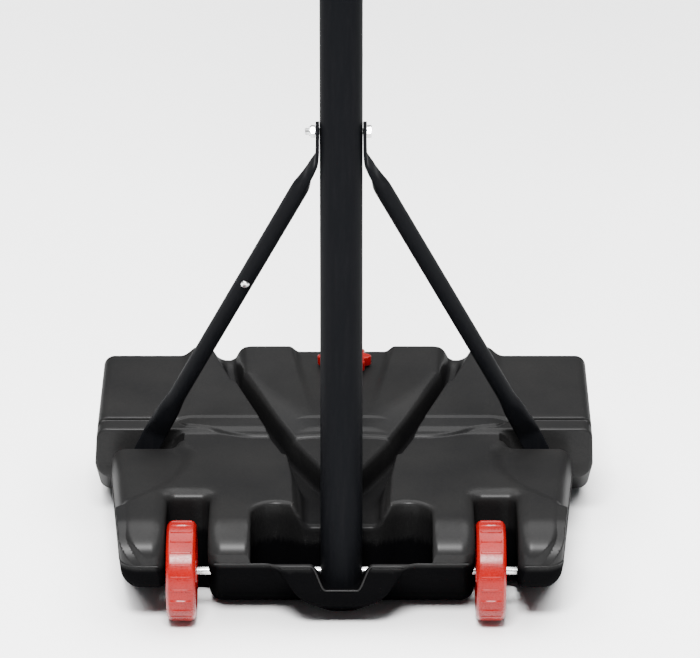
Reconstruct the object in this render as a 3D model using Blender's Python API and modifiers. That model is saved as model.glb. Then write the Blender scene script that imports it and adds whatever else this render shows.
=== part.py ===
"""Portable basketball hoop: a fillable wheeled base, a strutted two-part pole, a backboard, a rim and a net.

Metres, +Z up, +X to the right as a player facing the board sees it, +Y away from the player.
Heights start at the floor and depths at the pole's axis. The whole model hangs on one empty,
which puts the world's origin on the flat underside of the base, behind the pole.
"""
import math

import bmesh
import bpy
from mathutils import Matrix, Vector

# Fits
GAP = 0.0003                # between pieces that touch
RUNNING = 0.0004            # radial clearance of a shaft in its bore
SLIDING = 0.0006            # radial clearance of the telescoping pole in its collar

POLE_RADIUS = 0.025
POLE_WALL = 0.0015

# Wheels and axle
WHEEL_RADIUS = 0.060
WHEEL_HALF_WIDTH = 0.018
WHEEL_HUB_RADIUS = 0.014
WHEEL_SIDE_SHIFT = -0.0063  # both wheels sit to the left in their slots
WHEEL_LIFT = 0.003          # of the tyres above the floor while the base lies flat
AXLE_HEIGHT = WHEEL_RADIUS + WHEEL_LIFT
AXLE_RADIUS = 0.0048
AXLE_CAP_LENGTH = 0.0035    # inside the end of each bore

# Base tank
POLE_SETBACK = 0.200        # from the origin forward to the pole's axis
TANK_FRONT = -0.045         # parting edge in front of the pole
TANK_REAR = 0.478
BEYOND_REAR = TANK_REAR + 0.012
BASE_FLOOR_BELOW = -0.020   # how far below the floor the cuts of the underside start
FRONT_HALF_WIDTH = 0.262    # of the front block at its front edge
BLOCK_HALF_WIDTH = FRONT_HALF_WIDTH + 0.023
WING_HALF_WIDTH = BLOCK_HALF_WIDTH + 0.025
AXLE_HALF_LENGTH = FRONT_HALF_WIDTH - 0.012
PARTING_HEIGHT = 0.088
MIDDLE_RISE_FOOT = 0.063    # depth where each rise of the underside reaches BASE_FLOOR_BELOW
OUTER_RISE_FOOT = 0.163
OUTER_RISE_TOP = 0.058
WING_RISE_LENGTH = 0.124
WING_RISE_TOP = 0.060
KEEL_SIDE = 0.015           # of the keel beyond the pole
KEEL_REAR = 0.110
KEEL_FRONT_HEIGHT = 0.034
DECK_FRONT_HEIGHT = 0.128
DECK_MID_HEIGHT = 0.132
DECK_REAR_HEIGHT = 0.163
PANEL_HALF_WIDTH = 0.062    # of the sunk panel between the grooves
PANEL_FRONT_DROP = 0.001
PANEL_REAR_DROP = 0.006
SHOULDER_DEPTH = 0.120      # where the front block's shoulders start to fall
SHOULDER_DROP = 0.0055
WING_FRONT_RISE = 0.004     # of the wings' top above the middle of the deck
WING_REAR_DROP = 0.0105
TANK_WALL = 0.003
TANK_DRAFT = 0.010          # how far the walls lean in over the tank's height
POCKET_FRONT = 0.239        # slot across the tank that takes the feet of the struts
POCKET_REAR = POCKET_FRONT + 0.023
DECK_MID_DEPTH = POCKET_FRONT + 0.007
SLOT_CENTRE = FRONT_HALF_WIDTH - 0.0775
SLOT_HALF_WIDTH = WHEEL_HALF_WIDTH + 0.0075
SLOT_REAR = WHEEL_RADIUS + 0.020
LIP_THICKNESS = 0.007       # of the raised lip in front of the axle
LIP_SOLID = 0.004           # extra thickness of the recess's walls, which are solid plastic
SCALLOP_REAR = 0.0515
SCALLOP_INNER = POLE_RADIUS + 0.027
LOBE_INNER = 0.585 * SLOT_CENTRE
SCALLOP_RADIUS = (LOBE_INNER - SCALLOP_INNER) / 2 + 0.001
RECESS_REAR = 0.038         # behind the pole
RECESS_SLOPE = 0.053        # depth plus height on the recess's sloping front face
DIP_HEIGHT = 0.055          # bottom of the U-shaped dip in the lip
GROOVE_DEPTH = 0.021
GROOVE_FLOOR_HALF = 0.010
GROOVE_TOP_HALF = 0.026
GROOVE_FRONT = (0.044, 0.150)    # half spacing and depth where each groove starts
GROOVE_BEND = 0.302
TROUGH_HALF_WIDTH = 0.057
TROUGH_REAR = 0.172
NECK_BORE = 0.019
NECK_WALL = 0.004
CAP_X = 0.003
CAP_DEPTH = TANK_REAR - 0.046
CAP_LOBE = 0.003
CAP_RADIUS = NECK_BORE + NECK_WALL + 0.011
CAP_SKIRT = 0.0075
CAP_CROWN = 0.005
GASKET = 0.002
CAP_CLEARANCE = 0.0005      # of the cap's skirt over the panel

# Struts
BOLT_RADIUS = 0.004
BOLT_HEAD_FLAT = 1.625 * BOLT_RADIUS
BOLT_HEAD_HEIGHT = 0.0053
NUT_LENGTH = 0.0075
STRUT_RADIUS = 0.0105
STRUT_WALL = 0.0013
STRUT_PLATE = 0.0044        # thickness of the flattened ends
STRUT_PLATE_WIDTH = 0.029
STRUT_BOLT_HEIGHT = 0.619
STRUT_FOOT_X = BLOCK_HALF_WIDTH - 0.045
STRUT_FOOT_STANDOFF = 0.0015
STRUT_FOOT_SPLAY = 0.004    # from the ankle's side to the hanging end
STRUT_TOP_LENGTH = 0.0095   # of the flat end above the bolt
STRUT_FLAT_LENGTH = 0.035   # of the flat end below the bolt
POCKET_INNER = STRUT_FOOT_X - 0.045
GROOVE_REAR = 0.78 * POCKET_INNER
STRUT_FOOT_HEIGHT = DECK_FRONT_HEIGHT - 0.004
FOOT_BOLT_HEIGHT = STRUT_FOOT_HEIGHT - 0.032
INSERT_RADIUS = BOLT_RADIUS + 0.002
INSERT_LENGTH = 0.012       # of the threaded insert for each strut's foot bolt

# Board, rim and net
BOARD_WIDTH = 0.760
BOARD_HEIGHT = 0.500
BOARD_THICKNESS = 0.006
BOARD_CORNER = 0.030
BOARD_FACE = -0.170         # depth of the playing face
RIM_HEIGHT = 1.650
BOARD_FOOT = RIM_HEIGHT - 0.085
BOARD_TOP = BOARD_FOOT + BOARD_HEIGHT
RIM_INNER_RADIUS = 0.200
RIM_ROD_RADIUS = 0.008
RIM_TO_BOARD = 0.100
RIM_PLATE_HALF = 0.065
RAIL_WIDTH = 0.026
RAIL_DEPTH = 0.018
RAIL_INSET = 0.012
BRACKET_PLATE = 0.003
BRACKET_BOLT_HEIGHTS = (RIM_HEIGHT + 0.050, BOARD_TOP - 0.165)
BOARD_BOLT_HEIGHTS = (RIM_HEIGHT + 0.030, BOARD_TOP - 0.145)    # the lower row also holds the rim
BOARD_BOLT_RADIUS = 0.003
RIM_BOLT_X = 0.048
NET_DROP = 0.012            # of the net's top edge below the ring
NET_DEPTH = 0.330
NET_FOOT_RADIUS = 0.120
NET_WALL = 0.003

# Pole
TELESCOPE = 0.0015          # radial clearance of the upper pole inside the lower
POLE_FOOT_HEIGHT = 0.038
LOWER_POLE_TOP = RIM_HEIGHT - 0.370
UPPER_POLE_RADIUS = POLE_RADIUS - POLE_WALL - TELESCOPE
UPPER_POLE_FOOT = STRUT_BOLT_HEIGHT + 0.041
UPPER_POLE_TOP = BOARD_TOP - 0.105
COLLAR_HEIGHT = 0.080
COLLAR_HEAD = 0.022         # of the collar above the lower pole
COLLAR_WALL = 0.006
BOSS_RADIUS = 0.010
BOSS_LENGTH = 0.008
KNOB_RADIUS = 0.021
KNOB_LOBE = 0.003
KNOB_DEPTH = 0.018

PLASTIC_BLACK = (0.045, 0.046, 0.049)
STEEL_BLACK = (0.012, 0.013, 0.015)
ZINC = (0.62, 0.63, 0.64)
RED = (0.56, 0.022, 0.012)
WHITE = (0.83, 0.83, 0.82)


def collection(name):
    """Make a collection in the scene."""
    made = bpy.data.collections.new(name)
    bpy.context.scene.collection.children.link(made)
    return made


def material(name, colour, roughness, metallic=0.0):
    """Make a Principled material."""
    made = bpy.data.materials.new(name)
    made.use_nodes = True
    shader = made.node_tree.nodes["Principled BSDF"]
    shader.inputs["Base Color"].default_value = (*colour, 1.0)
    shader.inputs["Roughness"].default_value = roughness
    shader.inputs["Metallic"].default_value = metallic
    return made


class Kit:
    """The scene's collections and the empty that every piece hangs on."""

    def __init__(self):
        self.parts = collection("basketball_hoop")
        self.cutters = collection("cutters")
        self.root = bpy.data.objects.new("pole_axis_on_floor", None)
        self.root.location = (0.0, -POLE_SETBACK, 0.0)
        self.parts.objects.link(self.root)

    def add(self, name, mesh, parent=None, cutter=False):
        """Put a mesh in the scene as a piece, or as a hidden cutter."""
        made = bpy.data.objects.new(name, mesh)
        made.parent = parent or self.root
        (self.cutters if cutter else self.parts).objects.link(made)
        if cutter:
            made.hide_render = True
            made.display_type = "WIRE"
        return made


def offset_corners(corners, inset):
    """Move each edge of an anticlockwise outline inwards and keep its round corners in step."""
    moved = []
    count = len(corners)
    for index, (u, v, radius) in enumerate(corners):
        before = Vector(corners[index - 1][:2])
        here = Vector((u, v))
        after = Vector(corners[(index + 1) % count][:2])
        first = (here - before).normalized()
        second = (after - here).normalized()
        first_normal = Vector((-first.y, first.x))
        second_normal = Vector((-second.y, second.x))
        shift = (first_normal + second_normal) / (1.0 + first_normal.dot(second_normal))
        turn = first.x * second.y - first.y * second.x
        rounded = radius - inset if turn > 0 else radius + inset
        moved.append((*(here + shift * inset), max(rounded, GAP) if radius else 0.0))
    return moved


def round_outline(corners, inset=0.0, steps=4):
    """Give the points of an anticlockwise outline of (u, v, radius) corners; radius 0 is a sharp one."""
    points = []
    moved = offset_corners(corners, inset)
    count = len(moved)
    for index, (u, v, radius) in enumerate(moved):
        here = Vector((u, v))
        back = Vector(moved[index - 1][:2]) - here
        onward = Vector(moved[(index + 1) % count][:2]) - here
        if not radius:
            points.append(here)
            continue
        half_angle = back.angle(onward) / 2.0
        reach = min(radius / math.tan(half_angle), 0.49 * back.length, 0.49 * onward.length)
        start = here + back.normalized() * reach
        end = here + onward.normalized() * reach
        for step in range(steps + 1):
            t = step / steps
            points.append(start * (1 - t) ** 2 + here * 2 * t * (1 - t) + end * t ** 2)
    return points


AXES = {
    "X": Matrix(((0, 0, 1), (1, 0, 0), (0, 1, 0))).to_4x4(),
    "Y": Matrix(((1, 0, 0), (0, 0, -1), (0, 1, 0))).to_4x4(),
    "Z": Matrix.Identity(4),
}


def curve_mesh(curve):
    """Turn a curve into a closed mesh and drop the curve."""
    holder = bpy.data.objects.new("outline", curve)
    bpy.context.scene.collection.objects.link(holder)
    evaluated = holder.evaluated_get(bpy.context.evaluated_depsgraph_get())
    mesh = bpy.data.meshes.new_from_object(evaluated)
    bpy.data.objects.remove(holder)
    bm = bmesh.new()
    bm.from_mesh(mesh)
    bmesh.ops.remove_doubles(bm, verts=bm.verts, dist=1e-6)
    bmesh.ops.recalc_face_normals(bm, faces=bm.faces)
    bm.to_mesh(mesh)
    bm.free()
    return mesh


def plate_mesh(points, low, high, axis="Z"):
    """Extrude a flat outline from low to high along an axis.

    The outline's (u, v) lie along (Y, Z) for axis X, (X, Z) for axis Y and (X, Y) for axis Z.
    """
    curve = bpy.data.curves.new("outline", "CURVE")
    curve.dimensions = "2D"
    curve.fill_mode = "BOTH"
    curve.extrude = (high - low) / 2.0
    spline = curve.splines.new("POLY")
    spline.points.add(len(points) - 1)
    for target, (u, v) in zip(spline.points, points):
        target.co = (u, v, 0.0, 1.0)
    spline.use_cyclic_u = True
    mesh = curve_mesh(curve)
    middle = (low + high) / 2.0
    offset = {"X": (middle, 0, 0), "Y": (0, middle, 0), "Z": (0, 0, middle)}[axis]
    mesh.transform(Matrix.Translation(offset) @ AXES[axis])
    return mesh


def loft_mesh(rings):
    """Join closed rings of equally many points, with flat ends, into a solid."""
    bm = bmesh.new()
    rows = [[bm.verts.new(point) for point in ring] for ring in rings]
    for lower, upper in zip(rows, rows[1:]):
        for index in range(len(lower)):
            bm.faces.new((lower[index - 1], lower[index], upper[index], upper[index - 1]))
    bm.faces.new(reversed(rows[0]))
    bm.faces.new(rows[-1])
    bmesh.ops.recalc_face_normals(bm, faces=bm.faces)
    mesh = bpy.data.meshes.new("loft")
    bm.to_mesh(mesh)
    bm.free()
    return mesh


def rod_mesh(radius, low, high, axis="Z", sides=24, centre=(0.0, 0.0)):
    """Make a cylinder along an axis; centre is its place in the other two directions."""
    bm = bmesh.new()
    bmesh.ops.create_cone(bm, cap_ends=True, segments=sides, radius1=radius, radius2=radius,
                          depth=high - low)
    mesh = bpy.data.meshes.new("rod")
    bm.to_mesh(mesh)
    bm.free()
    middle = (low + high) / 2.0
    place = {"X": (middle, *centre), "Y": (centre[0], middle, centre[1]), "Z": (*centre, middle)}
    mesh.transform(Matrix.Translation(place[axis]) @ AXES[axis])
    return mesh


def box_mesh(low, high):
    """Make a box between two corners."""
    bm = bmesh.new()
    bmesh.ops.create_cube(bm, size=1.0)
    mesh = bpy.data.meshes.new("box")
    bm.to_mesh(mesh)
    bm.free()
    size = Vector(high) - Vector(low)
    middle = (Vector(high) + Vector(low)) / 2.0
    mesh.transform(Matrix.Translation(middle) @ Matrix.Diagonal((*size, 1.0)))
    return mesh


def join_or_cut(target, tool, operation="DIFFERENCE"):
    """Add a Boolean with one tool object to a piece."""
    step = target.modifiers.new(tool.name, "BOOLEAN")
    step.operation = operation
    step.object = tool


def cut(kit, target, mesh, operation="DIFFERENCE"):
    """Add a Boolean whose tool is a hidden mesh under the same parent as the piece."""
    name = f"{target.name}_{operation.lower()}_{len(target.modifiers)}"
    tool = kit.add(name, mesh, parent=target.parent, cutter=True)
    tool.location = target.location
    join_or_cut(target, tool, operation)


def turned(kit, name, profile, location, axis="Z", closed=False, steps=24, parent=None):
    """Turn a profile of (radius, height) pairs, listed from top to bottom on its outer side."""
    mesh = bpy.data.meshes.new(name)
    edges = [(index, index + 1) for index in range(len(profile) - 1)]
    if closed:
        edges.append((len(profile) - 1, 0))
    mesh.from_pydata([(radius, 0.0, height) for radius, height in profile], edges, [])
    made = kit.add(name, mesh, parent)
    made.location = location
    made.rotation_euler = {"X": (0, math.pi / 2, 0), "Y": (-math.pi / 2, 0, 0), "Z": (0, 0, 0)}[axis]
    screw = made.modifiers.new("turn", "SCREW")
    screw.steps = steps
    screw.render_steps = steps
    screw.use_merge_vertices = True
    screw.merge_threshold = 0.00001
    return made


def hexagon(radius):
    """Give the corners of a hexagon whose flats are radius from its centre."""
    corner = radius / math.cos(math.pi / 6)
    angles = [math.pi / 6 + math.pi / 3 * side for side in range(6)]
    return [Vector((corner * math.cos(angle), corner * math.sin(angle))) for angle in angles]


def mirrored(half):
    """Complete an outline from the corners of its right half, listed anticlockwise."""
    return half + [(-u, v, radius) for u, v, radius in reversed(half)]


# ---------------------------------------------------------------- base tank

def deck_height(depth):
    """Height of the deck's ribs at a depth behind the pole."""
    if depth < DECK_MID_DEPTH:
        share = max(depth, 0.0) / DECK_MID_DEPTH
        return DECK_FRONT_HEIGHT + (DECK_MID_HEIGHT - DECK_FRONT_HEIGHT) * share
    share = (depth - DECK_MID_DEPTH) / (TANK_REAR - DECK_MID_DEPTH)
    return DECK_MID_HEIGHT + (DECK_REAR_HEIGHT - DECK_MID_HEIGHT) * share


def panel_height(depth):
    """Height of the sunk middle panel at a depth behind the pole."""
    share = (depth - DECK_MID_DEPTH) / (BEYOND_REAR - DECK_MID_DEPTH)
    front = DECK_MID_HEIGHT - PANEL_FRONT_DROP
    return front + (DECK_REAR_HEIGHT - PANEL_REAR_DROP - front) * share


def cap_seat():
    """Height of the neck's rim, which the cap's gasket lies on."""
    foot = panel_height(CAP_DEPTH + CAP_RADIUS) + CAP_CLEARANCE
    return foot + CAP_SKIRT - GASKET - 2 * GAP


def tank_plan(inset):
    """Rings of the tank's plan outline, widest at the parting line."""
    half = [
        (FRONT_HALF_WIDTH, TANK_FRONT, 0.025),
        (BLOCK_HALF_WIDTH, POCKET_FRONT, 0.008),
        (POCKET_INNER, POCKET_FRONT, 0.006),
        (POCKET_INNER, POCKET_REAR, 0.006),
        (WING_HALF_WIDTH, POCKET_REAR, 0.012),
        (WING_HALF_WIDTH - 0.008, TANK_REAR, 0.040),
    ]
    levels = ((inset, TANK_DRAFT), (PARTING_HEIGHT, 0.0), (DECK_REAR_HEIGHT + 0.01, TANK_DRAFT))
    rings = []
    for height, draft in levels:
        ring = round_outline(mirrored(half), inset + draft)
        rings.append([(*point, height) for point in ring])
    return rings


def tank_side():
    """Side outline of the tank at its middle: (depth, height, radius) corners."""
    return [
        (TANK_FRONT, PARTING_HEIGHT - 0.030, 0.020),
        (0.020, 0.0, 0.010),
        (TANK_REAR - 0.006, 0.0, 0.008),
        (TANK_REAR, PARTING_HEIGHT, 0.010),
        (TANK_REAR - 0.010, deck_height(TANK_REAR), 0.010),
        (DECK_MID_DEPTH, DECK_MID_HEIGHT, 0.060),
        (TANK_FRONT, DECK_FRONT_HEIGHT, 0.045),
    ]


def trench_plan():
    """Plan outline of the recess that the axle crosses between the inner lobes."""
    front = TANK_FRONT + LIP_THICKNESS
    half = [
        (LOBE_INNER, front, 0.006),
        (LOBE_INNER, SCALLOP_REAR, SCALLOP_RADIUS),
        (SCALLOP_INNER, SCALLOP_REAR, SCALLOP_RADIUS / 2),
        (SCALLOP_INNER - 0.006, RECESS_REAR, 0.008),
    ]
    return mirrored(half)


def tank_form(kit, name, inset, cutter):
    """Make the tank's outer form, or the same form with every face moved inwards by inset."""
    far = 0.7
    grow = -inset
    body = kit.add(name, loft_mesh(tank_plan(inset)), cutter=cutter)
    cut(kit, body, plate_mesh(round_outline(tank_side(), inset), -far, far, "X"), "INTERSECT")

    # The underside rises towards the front: steeply in the middle, gently outside the wheels.
    before = TANK_FRONT - 0.155
    below = BASE_FLOOR_BELOW
    middle_rise = [(before, below, 0.0), (MIDDLE_RISE_FOOT, below, 0.0), (TANK_FRONT, PARTING_HEIGHT, 0.0),
                   (before, PARTING_HEIGHT, 0.0)]
    cut(kit, body, plate_mesh(round_outline(middle_rise, grow), -SLOT_CENTRE, SLOT_CENTRE, "X"))
    outer_rise = [(before, below, 0.0), (OUTER_RISE_FOOT, below, 0.0), (TANK_FRONT, OUTER_RISE_TOP, 0.0),
                  (before, OUTER_RISE_TOP, 0.0)]
    wing_start = POCKET_FRONT - 0.001
    wing_rise = [(wing_start, below, 0.0), (POCKET_REAR + WING_RISE_LENGTH, below, 0.0),
                 (POCKET_REAR, WING_RISE_TOP, 0.0), (wing_start, WING_RISE_TOP, 0.0)]
    above = DECK_REAR_HEIGHT + 0.1
    pocket = POCKET_FRONT + 0.010
    wing_step = [(pocket, DECK_MID_HEIGHT + WING_FRONT_RISE, 0.0),
                 (BEYOND_REAR, DECK_REAR_HEIGHT - WING_REAR_DROP, 0.0),
                 (BEYOND_REAR, above, 0.0), (pocket, above, 0.0)]
    shoulder_step = [(SHOULDER_DEPTH, DECK_FRONT_HEIGHT + 0.001, 0.0),
                     (pocket + 0.001, DECK_FRONT_HEIGHT - SHOULDER_DROP, 0.0),
                     (pocket + 0.001, above, 0.0), (SHOULDER_DEPTH, above, 0.0)]
    for side in (-1, 1):
        for corners, inner in ((outer_rise, SLOT_CENTRE), (wing_rise, BLOCK_HALF_WIDTH - 0.008),
                               (wing_step, POCKET_INNER), (shoulder_step, POCKET_INNER + 0.001)):
            low, high = sorted((side * (inner + grow), side * far))
            cut(kit, body, plate_mesh(round_outline(corners, grow), low, high, "X"))

    # A keel below the lip holds the pole's foot.
    keel_top = PARTING_HEIGHT + 0.002
    keel = [(TANK_FRONT, KEEL_FRONT_HEIGHT, 0.016), (0.020, 0.0, 0.006), (KEEL_REAR, 0.0, 0.003),
            (KEEL_REAR, keel_top, 0.003), (TANK_FRONT, keel_top, 0.003)]
    keel_half = POLE_RADIUS + KEEL_SIDE - inset
    keel_mesh = plate_mesh(round_outline(keel, inset + 0.0001), -keel_half, keel_half, "X")
    cut(kit, body, keel_mesh, "UNION")

    cut_deck(kit, body, inset)
    cut_front(kit, body, inset)
    for side in (-1, 1):
        socket = rod_mesh(INSERT_RADIUS + GAP + inset, POCKET_FRONT - INSERT_LENGTH - GAP - inset,
                          POCKET_FRONT + 0.010, "Y", sides=20, centre=(side * foot_bolt_x(), FOOT_BOLT_HEIGHT))
        cut(kit, body, socket)
    return body


def foot_bolt_x():
    """Distance of each foot bolt from the middle."""
    return STRUT_FOOT_X + STRUT_FOOT_SPLAY


def cut_deck(kit, body, inset):
    """Cut the deck's middle panel, its V of grooves and the trough behind the pole."""
    grow = -inset
    above = DECK_REAR_HEIGHT + 0.1
    middle = [(DECK_MID_DEPTH, panel_height(DECK_MID_DEPTH), 0.0),
              (BEYOND_REAR, panel_height(BEYOND_REAR), 0.0), (BEYOND_REAR, above, 0.0),
              (DECK_MID_DEPTH, above, 0.0)]
    half = PANEL_HALF_WIDTH + inset
    cut(kit, body, plate_mesh(round_outline(middle, grow), -half, half, "X"))
    floor = DECK_FRONT_HEIGHT - GROOVE_DEPTH
    trough = [(TANK_FRONT - 0.015, floor - 0.004, 0.0), (RECESS_REAR, floor - 0.002, 0.030),
              (TROUGH_REAR, floor + 0.001, 0.010), (TROUGH_REAR + 0.016, above, 0.0),
              (TANK_FRONT - 0.015, above, 0.0)]
    half = TROUGH_HALF_WIDTH + inset
    cut(kit, body, plate_mesh(round_outline(trough, grow), -half, half, "X"))
    bend = GROOVE_FRONT[0] + 0.4 * (GROOVE_REAR - GROOVE_FRONT[0])
    stations = (GROOVE_FRONT, (bend, GROOVE_BEND), (GROOVE_REAR, BEYOND_REAR))
    for side in (-1, 1):
        rings = []
        for x, depth in stations:
            floor = deck_height(depth) - GROOVE_DEPTH + grow
            low, high = GROOVE_FLOOR_HALF + inset, GROOVE_TOP_HALF + inset
            centre = side * x
            rings.append([(centre - low, depth, floor), (centre + low, depth, floor),
                          (centre + high, depth, above), (centre - high, depth, above)])
        cut(kit, body, loft_mesh(rings))


def cut_front(kit, body, inset):
    """Cut the wheels' slots, the axle's recess and bores, and the pole's well."""
    grow = -inset
    before = TANK_FRONT - 0.055
    inner, outer = SLOT_CENTRE - SLOT_HALF_WIDTH, SLOT_CENTRE + SLOT_HALF_WIDTH
    slot = [(inner, before, 0.0), (outer, before, 0.0), (outer, SLOT_REAR, 0.010), (inner, SLOT_REAR, 0.010)]
    for side in (-1, 1):
        points = round_outline(slot, grow)
        cut(kit, body, plate_mesh([(side * u, v) for u, v in points][::side], -0.05, 0.30))
    lip_solid = LIP_SOLID if inset > 0 else 0.0
    recess = plate_mesh(round_outline(trench_plan(), grow - lip_solid), 0.0, 0.30)
    floor = POLE_FOOT_HEIGHT - GAP
    above = DECK_REAR_HEIGHT + 0.1
    inner_rise = [(RECESS_SLOPE - floor, floor, 0.002), (0.30, floor, 0.002), (0.30, above, 0.002),
                  (RECESS_SLOPE - above, above, 0.002)]
    side_cut = plate_mesh(round_outline(inner_rise, grow - lip_solid), -0.20, 0.20, "X")
    tool = kit.add(f"{body.name}_recess", recess, cutter=True)
    cut(kit, tool, side_cut, "INTERSECT")
    join_or_cut(body, tool)
    well = POLE_RADIUS + 0.003 + inset
    cut(kit, body, rod_mesh(well, floor - inset, 0.30, sides=32))
    dip_half = POLE_RADIUS + 0.006
    flared = dip_half + 0.009
    dip_top = DECK_FRONT_HEIGHT + 0.022
    dip = [(-dip_half, DIP_HEIGHT, 0.020), (dip_half, DIP_HEIGHT, 0.020), (flared, dip_top, 0.0),
           (-flared, dip_top, 0.0)]
    cut(kit, body, plate_mesh(round_outline(dip, grow), -0.120, 0.0, "Y"))
    bore = AXLE_RADIUS + RUNNING + inset
    cut(kit, body, rod_mesh(bore, -0.40, 0.40, "X", sides=20, centre=(0.0, AXLE_HEIGHT)))


def build_tank(kit, shell, fill):
    """Make the hollow tank with its filler neck, and the water inside it."""
    tank = tank_form(kit, "base_tank", 0.0, cutter=False)
    tank.data.materials.append(shell)
    place = (CAP_X, CAP_DEPTH)
    outer_neck = rod_mesh(NECK_BORE + NECK_WALL, cap_seat() - 0.022, cap_seat(), sides=32, centre=place)
    cut(kit, tank, outer_neck, "UNION")
    cavity = tank_form(kit, "tank_cavity", TANK_WALL, cutter=True)
    join_or_cut(tank, cavity)
    cut(kit, tank, rod_mesh(NECK_BORE, 0.10, 0.25, sides=32, centre=place))
    water = tank_form(kit, "ballast_water", TANK_WALL + 2 * GAP, cutter=False)
    water.data.materials.append(fill)


# ---------------------------------------------------------------- filler cap

def build_cap(kit, red, rubber):
    """Make the lobed filler cap and its sealing ring, both on the neck's axis."""
    seat = cap_seat()
    ring_outer = NECK_BORE + NECK_WALL
    ring_inner = NECK_BORE + 0.0005
    low, high = seat + GAP, seat + GAP + GASKET
    gasket = [(ring_outer, high), (ring_outer, low), (ring_inner, low), (ring_inner, high)]
    origin = (CAP_X, CAP_DEPTH, 0.0)
    seal = turned(kit, "filler_gasket", gasket, origin, closed=True)
    seal.data.materials.append(rubber)
    under = high + GAP
    skirt_inner = ring_outer + SLIDING
    points = []
    for step in range(48):
        angle = 2 * math.pi * step / 48
        radius = CAP_RADIUS - CAP_LOBE + CAP_LOBE * math.cos(8 * angle)
        points.append((radius * math.cos(angle), radius * math.sin(angle)))
    cap = kit.add("filler_cap", plate_mesh(points, under - CAP_SKIRT, under + CAP_CROWN))
    cap.location = origin
    cut(kit, cap, rod_mesh(skirt_inner, under - 0.020, under, sides=32))
    cap.data.materials.append(red)


# ---------------------------------------------------------------- axle and wheels

def build_running_gear(kit, red, zinc, plastic):
    """Make the axle, its end caps and the two wheels."""
    axle = kit.add("wheel_axle", rod_mesh(AXLE_RADIUS, -AXLE_HALF_LENGTH, AXLE_HALF_LENGTH, "X"))
    axle.location = (0.0, 0.0, AXLE_HEIGHT)
    axle.data.materials.append(zinc)
    bore = AXLE_RADIUS + RUNNING
    inner, width = WHEEL_HUB_RADIUS, WHEEL_HALF_WIDTH
    tyre = WHEEL_RADIUS
    web = width / 3
    profile = [
        (bore, width), (inner, width), (inner + 0.002, web), (tyre - 0.013, web),
        (tyre - 0.010, width - 0.0005), (tyre - 0.004, width - 0.0005), (tyre - 0.0006, width - 0.005),
        (tyre, 0.0),
    ]
    lower = [(radius, -height) for radius, height in reversed(profile) if height > 0]
    for side, name in ((-1, "wheel_left"), (1, "wheel_right")):
        place = (side * SLOT_CENTRE + WHEEL_SIDE_SHIFT, 0.0, AXLE_HEIGHT)
        wheel = turned(kit, name, profile + lower, place, axis="X", closed=True, steps=32)
        wheel.data.materials.append(red)
    for side, name in ((-1, "axle_cap_left"), (1, "axle_cap_right")):
        dome = [(0.0, 0.0015), (AXLE_RADIUS / 2, 0.0013), (AXLE_RADIUS, 0.0), (AXLE_RADIUS, -AXLE_CAP_LENGTH),
                (0.0, -AXLE_CAP_LENGTH)]
        place = (side * (AXLE_HALF_LENGTH + AXLE_CAP_LENGTH + GAP), 0.0, AXLE_HEIGHT)
        stub = turned(kit, name, dome, place, axis="X", steps=20)
        if side < 0:
            stub.rotation_euler = (0.0, -math.pi / 2, 0.0)
        stub.data.materials.append(plastic)


# ---------------------------------------------------------------- pole

def tube(kit, name, radius, wall, low, high, sides=40):
    """Make an upright tube open at both ends."""
    made = kit.add(name, rod_mesh(radius, low, high, sides=sides))
    cut(kit, made, rod_mesh(radius - wall, low - 0.01, high + 0.01, sides=sides))
    return made


def build_pole(kit, steel, plastic, zinc):
    """Make the lower pole, its collar and the clamp knob."""
    pole = tube(kit, "lower_pole", POLE_RADIUS, POLE_WALL, POLE_FOOT_HEIGHT, LOWER_POLE_TOP)
    knob_height = LOWER_POLE_TOP - COLLAR_HEIGHT / 2
    hole = BOLT_RADIUS + GAP
    for height, radius in ((AXLE_HEIGHT, AXLE_RADIUS + RUNNING), (STRUT_BOLT_HEIGHT, hole)):
        cut(kit, pole, rod_mesh(radius, -0.05, 0.05, "X", sides=16, centre=(0.0, height)))
    cut(kit, pole, rod_mesh(hole, 0.0, 0.05, "Y", sides=16, centre=(0.0, knob_height)))
    pole.data.materials.append(steel)

    inside = POLE_RADIUS + GAP
    guide = UPPER_POLE_RADIUS + SLIDING
    outside = POLE_RADIUS + COLLAR_WALL
    top = LOWER_POLE_TOP + COLLAR_HEAD
    foot = LOWER_POLE_TOP - COLLAR_HEIGHT
    profile = [(guide, top), (outside - 0.004, top), (outside, top - 0.004), (outside, foot + 0.002),
               (outside - 0.002, foot), (inside, foot), (inside, LOWER_POLE_TOP + GAP),
               (guide, LOWER_POLE_TOP + GAP)]
    collar = turned(kit, "pole_collar", profile, (0.0, 0.0, 0.0), closed=True)
    boss_end = outside + BOSS_LENGTH
    boss = rod_mesh(BOSS_RADIUS, POLE_RADIUS + COLLAR_WALL / 2, boss_end, "Y", centre=(0.0, knob_height))
    cut(kit, collar, boss, "UNION")
    cut(kit, collar, rod_mesh(hole, 0.0, 0.08, "Y", sides=16, centre=(0.0, knob_height)))
    collar.data.materials.append(plastic)

    knob_face = boss_end + 0.002
    tip = UPPER_POLE_RADIUS + GAP
    screw = kit.add("clamp_screw", rod_mesh(BOLT_RADIUS, tip, knob_face + 0.010, "Y", sides=16))
    screw.location = (0.0, 0.0, knob_height)
    screw.data.materials.append(zinc)
    points = []
    for step in range(48):
        angle = 2 * math.pi * step / 48
        radius = KNOB_RADIUS - KNOB_LOBE + KNOB_LOBE * math.cos(6 * angle)
        points.append((radius * math.cos(angle), radius * math.sin(angle)))
    knob = kit.add("clamp_knob", plate_mesh(points, knob_face, knob_face + KNOB_DEPTH, "Y"))
    knob.location = (0.0, 0.0, knob_height)
    cut(kit, knob, rod_mesh(BOLT_RADIUS + GAP, knob_face - 0.01, knob_face + 0.010 + GAP, "Y", sides=16))
    knob.data.materials.append(plastic)


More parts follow.
